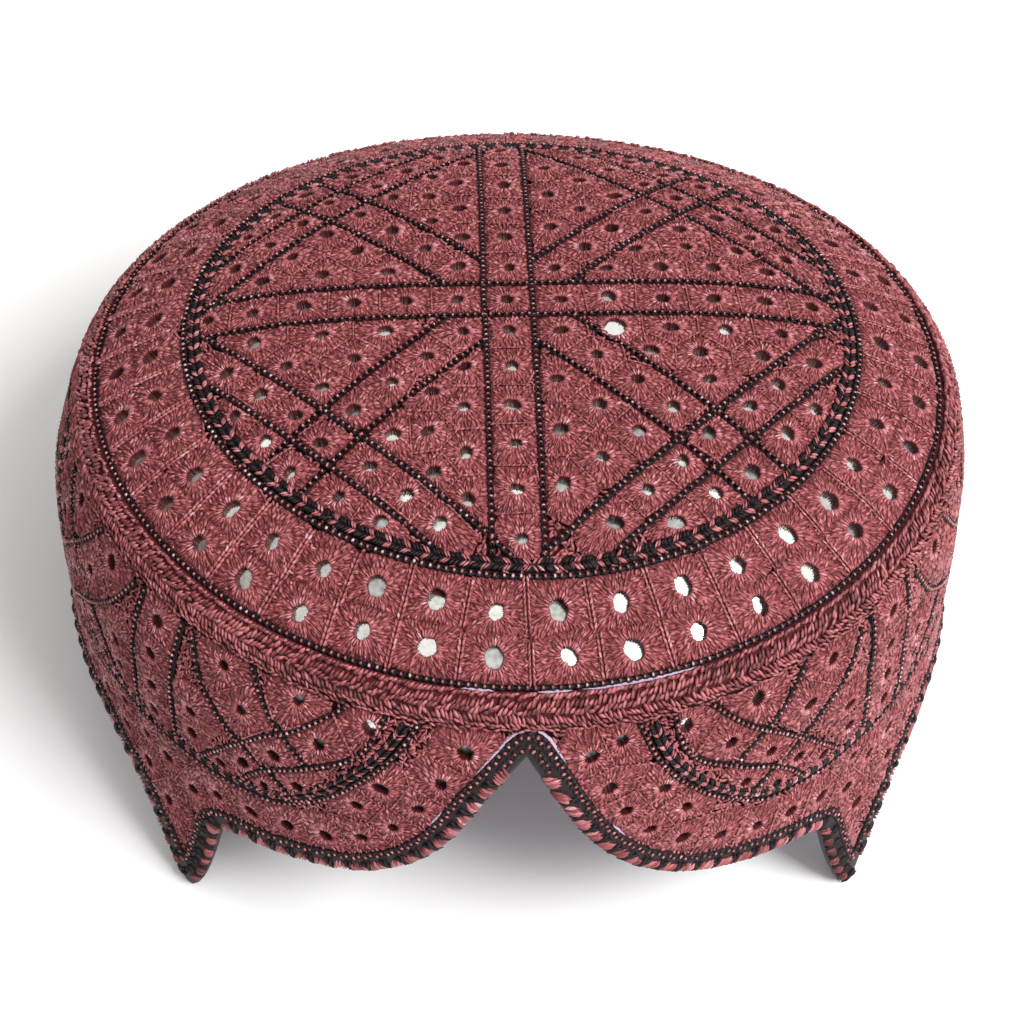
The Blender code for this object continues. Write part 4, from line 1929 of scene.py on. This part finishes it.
@dataclass(frozen=True)
class EdgeBinding:
    """The whipped edging: a black roll with rose pads, and a dotted line inside it."""

    finishes: Finishes
    columns: int = 600
    section: tuple[BindingRow, ...] = tuple(
        BindingRow(share, lift * MM)
        for share, lift in (
            (0.0, -0.7), (0.03, 0.05), (0.25, 0.2), (0.55, 0.2), (0.8, 0.0), (1.0, -0.6), (1.06, -1.4),
            (1.0, -2.4), (0.7, -3.0), (0.3, -3.1), (0.0, -2.7),
        )
    )
    block_pitch: float = 4.4 * MM
    pad_count: int = 5
    line: DottedLine = DottedLine(
        width=1.9 * MM, pitch=1.35 * MM, lift=0.2 * MM, rows=(0.22 * MM, -0.22 * MM), dot=0.8 * MM, tone=0.66
    )
    line_inset: float = 0.85 * MM
    arch_inset: float = 2.3 * MM
    floor: float = 0.05 * MM
    arch_half: float = 3.2 * DEGREE
    horn_half: float = 6.0 * DEGREE
    tip_half: float = 1.6 * DEGREE
    horn_size: float = 0.62
    overhang: float = 0.45 * MM
    whip_length: float = 3.4 * MM

    def roll(self) -> bpy.types.Object:
        """The black roll under the stitches."""
        turns = [math.tau * k / self.columns for k in range(self.columns)]
        spans = [(CAP.inset_depth(turn, CAP.binding_width), CAP.rim_depth(turn)) for turn in turns]
        rows = []
        for row in self.section:
            points = []
            for turn, (near, rim) in zip(turns, spans):
                place = spot(turn * WALL.radius, near + (rim - near) * row.share)
                point = WALL.place(place, row.lift)
                point.z = max(point.z, self.floor)
                points.append(point)
            rows.append(points)
        piece = rings_mesh("binding_roll", rows, self.finishes.black, "tone", [0.2] * len(rows))
        return dress(piece, Slot.EDGING, "edge_binding")

    def make(self) -> None:
        """Builds the roll and its stitches."""
        self.roll()
        rng = random.Random(SEED + 3)
        rose = StitchWork("binding_pads", self.finishes.rose, 4, 5)
        black = StitchWork("binding_whips", self.finishes.black, 4, 5)
        for place, run in walk(WALL.rim_path(0.0, 0.15), self.block_pitch):
            away = abs(place.x) / WALL.radius
            if away < self.arch_half * 0.6:
                continue
            from_point = abs(away - CAP.point_azimuth)
            size = self.horn_size if from_point < self.horn_half else 1.0
            self.pad(rose, place, run, size, from_point > self.tip_half, rng)
            if from_point >= self.tip_half and away >= self.arch_half:
                self.whip(black, place, run, rng)
        self.line.sew(WALL, WALL.rim_path(CAP.binding_width - self.line_inset, 0.75), black, rose, rng)
        reach = self.arch_half * WALL.radius
        arch = [place for place in WALL.rim_path(self.arch_inset, 0.5) if abs(place.x) < reach]
        self.line.sew(WALL, arch, black, rose, rng)
        rose.make(Slot.EDGING)
        black.make(Slot.EDGING)

    def pad(
        self, work: StitchWork, place: Vector, run: Vector, size: float, sewn: bool, rng: random.Random
    ) -> None:
        """A block of rose threads side by side, longest in the middle, fewer where it is small."""
        inward = -sideways(run)
        slant = run * 0.45 * MM * rng.uniform(-0.2, 2.0) * size
        for k in range(self.pad_count):
            off = k - (self.pad_count - 1) / 2
            bulge = math.sqrt(1 - (off / self.pad_count * 1.6) ** 2)
            turn = run * rng.gauss(0, 0.22) * MM
            start = place + run * off * 0.6 * MM - inward * self.overhang * bulge - slant
            end = start + inward * (0.9 + 2.3 * bulge * uneven(rng, 0.15)) * size * MM + slant * 2 + turn
            tone = 0.9 * size - 0.34 + rng.uniform(-0.4, 0.35)
            if sewn and abs(off) <= 2 * size:
                self.lay(work, start, end, 0.8 * MM, 1.5 * MM, tone, (-0.75 * MM, 0.35 * MM))

    def whip(self, work: StitchWork, place: Vector, run: Vector, rng: random.Random) -> None:
        """Two crossed black threads between one block and the next."""
        inward = -sideways(run)
        for lean in (-1, 1):
            start = place + run * (2.2 - lean * 0.75) * MM - inward * self.overhang
            end = place + run * (2.2 + lean * 0.85) * MM + inward * self.whip_length
            width = rng.uniform(0.6, 0.85) * MM
            self.lay(work, start, end, width, 1.4 * MM, rng.random(), (-0.5 * MM, 0.65 * MM))

    def lay(
        self, work: StitchWork, start: Vector, end: Vector, width: float, height: float, tone: float,
        lifts: tuple[float, float],
    ) -> None:
        """Sews a stitch over the roll, kept off the table."""
        up = WALL.up((start + end) / 2)
        points = [STAND @ WALL.point(place) + up * lift for place, lift in zip((start, end), lifts)]
        for point in points:
            point.z = max(point.z, self.floor + height * 0.3)
        work.add(points[0], points[1], up, width, height, tone)


@dataclass(frozen=True)
class BareStrips:
    """Slips of the cotton that show where a line of stitches has pulled away from the next."""

    finishes: Finishes
    seam: tuple[tuple[float, float], ...] = ((-8.5, -4.5), (0.8, 5.0), (6.2, 21.0))
    rim: tuple[tuple[float, float], ...] = ((-5.5, -0.7), (-10.6, -8.6), (0.8, 4.6), (10.3, 12.0))
    half_width: float = 0.22 * MM

    def make(self) -> None:
        """Builds the slips."""
        strips = Ribbons()
        rng = random.Random(SEED + 4)
        for start, end in self.seam:
            path = arc(CAP.seam_radius - 0.12 * MM, start, end, 0.7)
            strips.add(CROWN, [place * uneven(rng, 0.001) for place in path], self.half_width, 0.0, 0.6)
        inside = WALL.rim_path(CAP.binding_width + 0.25 * MM, 0.5)
        for start, end in self.rim:
            path = [place for place in inside if start * DEGREE < place.x / WALL.radius < end * DEGREE]
            strips.add(WALL, path, self.half_width, 0.2 * MM, 0.6)
        strips.make("bare_cotton_strips", self.finishes.cotton, Slot.SILK, bare=1.0)


@dataclass(frozen=True)
class Studio:
    """Floor, lights and the camera at the photograph's angle."""

    eye: tuple[float, float, float] = (-10.5 * MM, -288.3 * MM, 257.8 * MM)
    pan: float = 1.62 * DEGREE
    tilt: float = 46.16 * DEGREE
    image: float = 1024.0
    focal: float = 1903.96
    principal: tuple[float, float] = (504.2, 510.8)
    sensor: float = 36.0
    floor_size: float = 6.0
    key_place: tuple[float, float, float] = (0.62, -0.5, 1.05)
    key_size: float = 0.5
    key_power: float = 17.0
    aim: tuple[float, float, float] = (0.0, 0.0, 0.05)

    def camera(self) -> None:
        """Places the camera, whose place is known in the cap's own frame."""
        data = bpy.data.cameras.new("camera")
        data.sensor_width = self.sensor
        data.lens = self.focal / self.image * self.sensor
        data.shift_x = (self.image / 2 - self.principal[0]) / self.image
        data.shift_y = (self.principal[1] - self.image / 2) / self.image
        camera = bpy.data.objects.new("camera", data)
        flat = math.cos(self.tilt)
        look = Vector((math.sin(self.pan) * flat, math.cos(self.pan) * flat, -math.sin(self.tilt)))
        turn = look.to_track_quat("-Z", "Y").to_matrix().to_4x4()
        camera.matrix_world = STAND @ Matrix.Translation(self.eye) @ turn
        bpy.context.scene.collection.objects.link(camera)
        bpy.context.scene.camera = camera

    def light(self) -> None:
        """A soft square light that looks at the cap."""
        data = bpy.data.lights.new("key", "AREA")
        data.size = self.key_size
        data.energy = self.key_power
        lamp = bpy.data.objects.new("key", data)
        lamp.location = self.key_place
        lamp.rotation_euler = (Vector(self.aim) - lamp.location).to_track_quat("-Z", "Y").to_euler()
        bpy.context.scene.collection.objects.link(lamp)

    def sky(self, graph: Graph) -> None:
        """A soft light all round: bright overhead and in front, dim low down at the back."""
        way = graph.node("ShaderNodeTexCoord").out("Generated")
        parts = graph.node("ShaderNodeSeparateXYZ", None, {"Vector": way})
        right, back, up = (parts.out(k) for k in range(3))
        overhead = ((up - 0.48) * 2.4).clamped()
        light = overhead * overhead * 0.83 + (back * -0.5).clamped() + (right * 0.85).clamped() + 0.11
        background = graph.tree.nodes["Background"]
        background.inputs["Color"].default_value = (1.0, 0.985, 0.97, 1.0)
        graph.tree.links.new(light.socket, background.inputs["Strength"])

    def make(self) -> None:
        """Builds the studio."""
        half = self.floor_size / 2
        corners = [Vector((x, y, 0)) for x, y in ((-half, -half), (half, -half), (half, half), (-half, half))]
        floor = mesh_piece("floor", corners, [(0, 1, 2, 3)], FloorFinish().material())
        floor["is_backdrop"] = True
        world = bpy.data.worlds.new("studio")
        world.use_nodes = True
        self.sky(Graph(world.node_tree))
        bpy.context.scene.world = world
        self.light()
        bpy.context.scene.view_settings.view_transform = "Standard"
        self.camera()


def note_sizes() -> None:
    """Works out the solids' box and the dressed cap's box, and keeps neither."""
    boxes = {"cad": CAD_BOX, "visual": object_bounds()}
    rows = {name: [list(corner) for corner in box] for name, box in boxes.items()}


def main() -> None:
    """Builds the cap piece by piece, and then the studio."""
    logging.basicConfig(level=logging.INFO, format="%(message)s")
    finishes = Finishes()
    Crown(finishes).make()
    SideWall(finishes).make()
    SeamBraid(finishes).make()
    EdgeBinding(finishes).make()
    BareStrips(finishes).make()
    Studio().make()
    note_sizes()


if __name__ == "__main__":
    main()
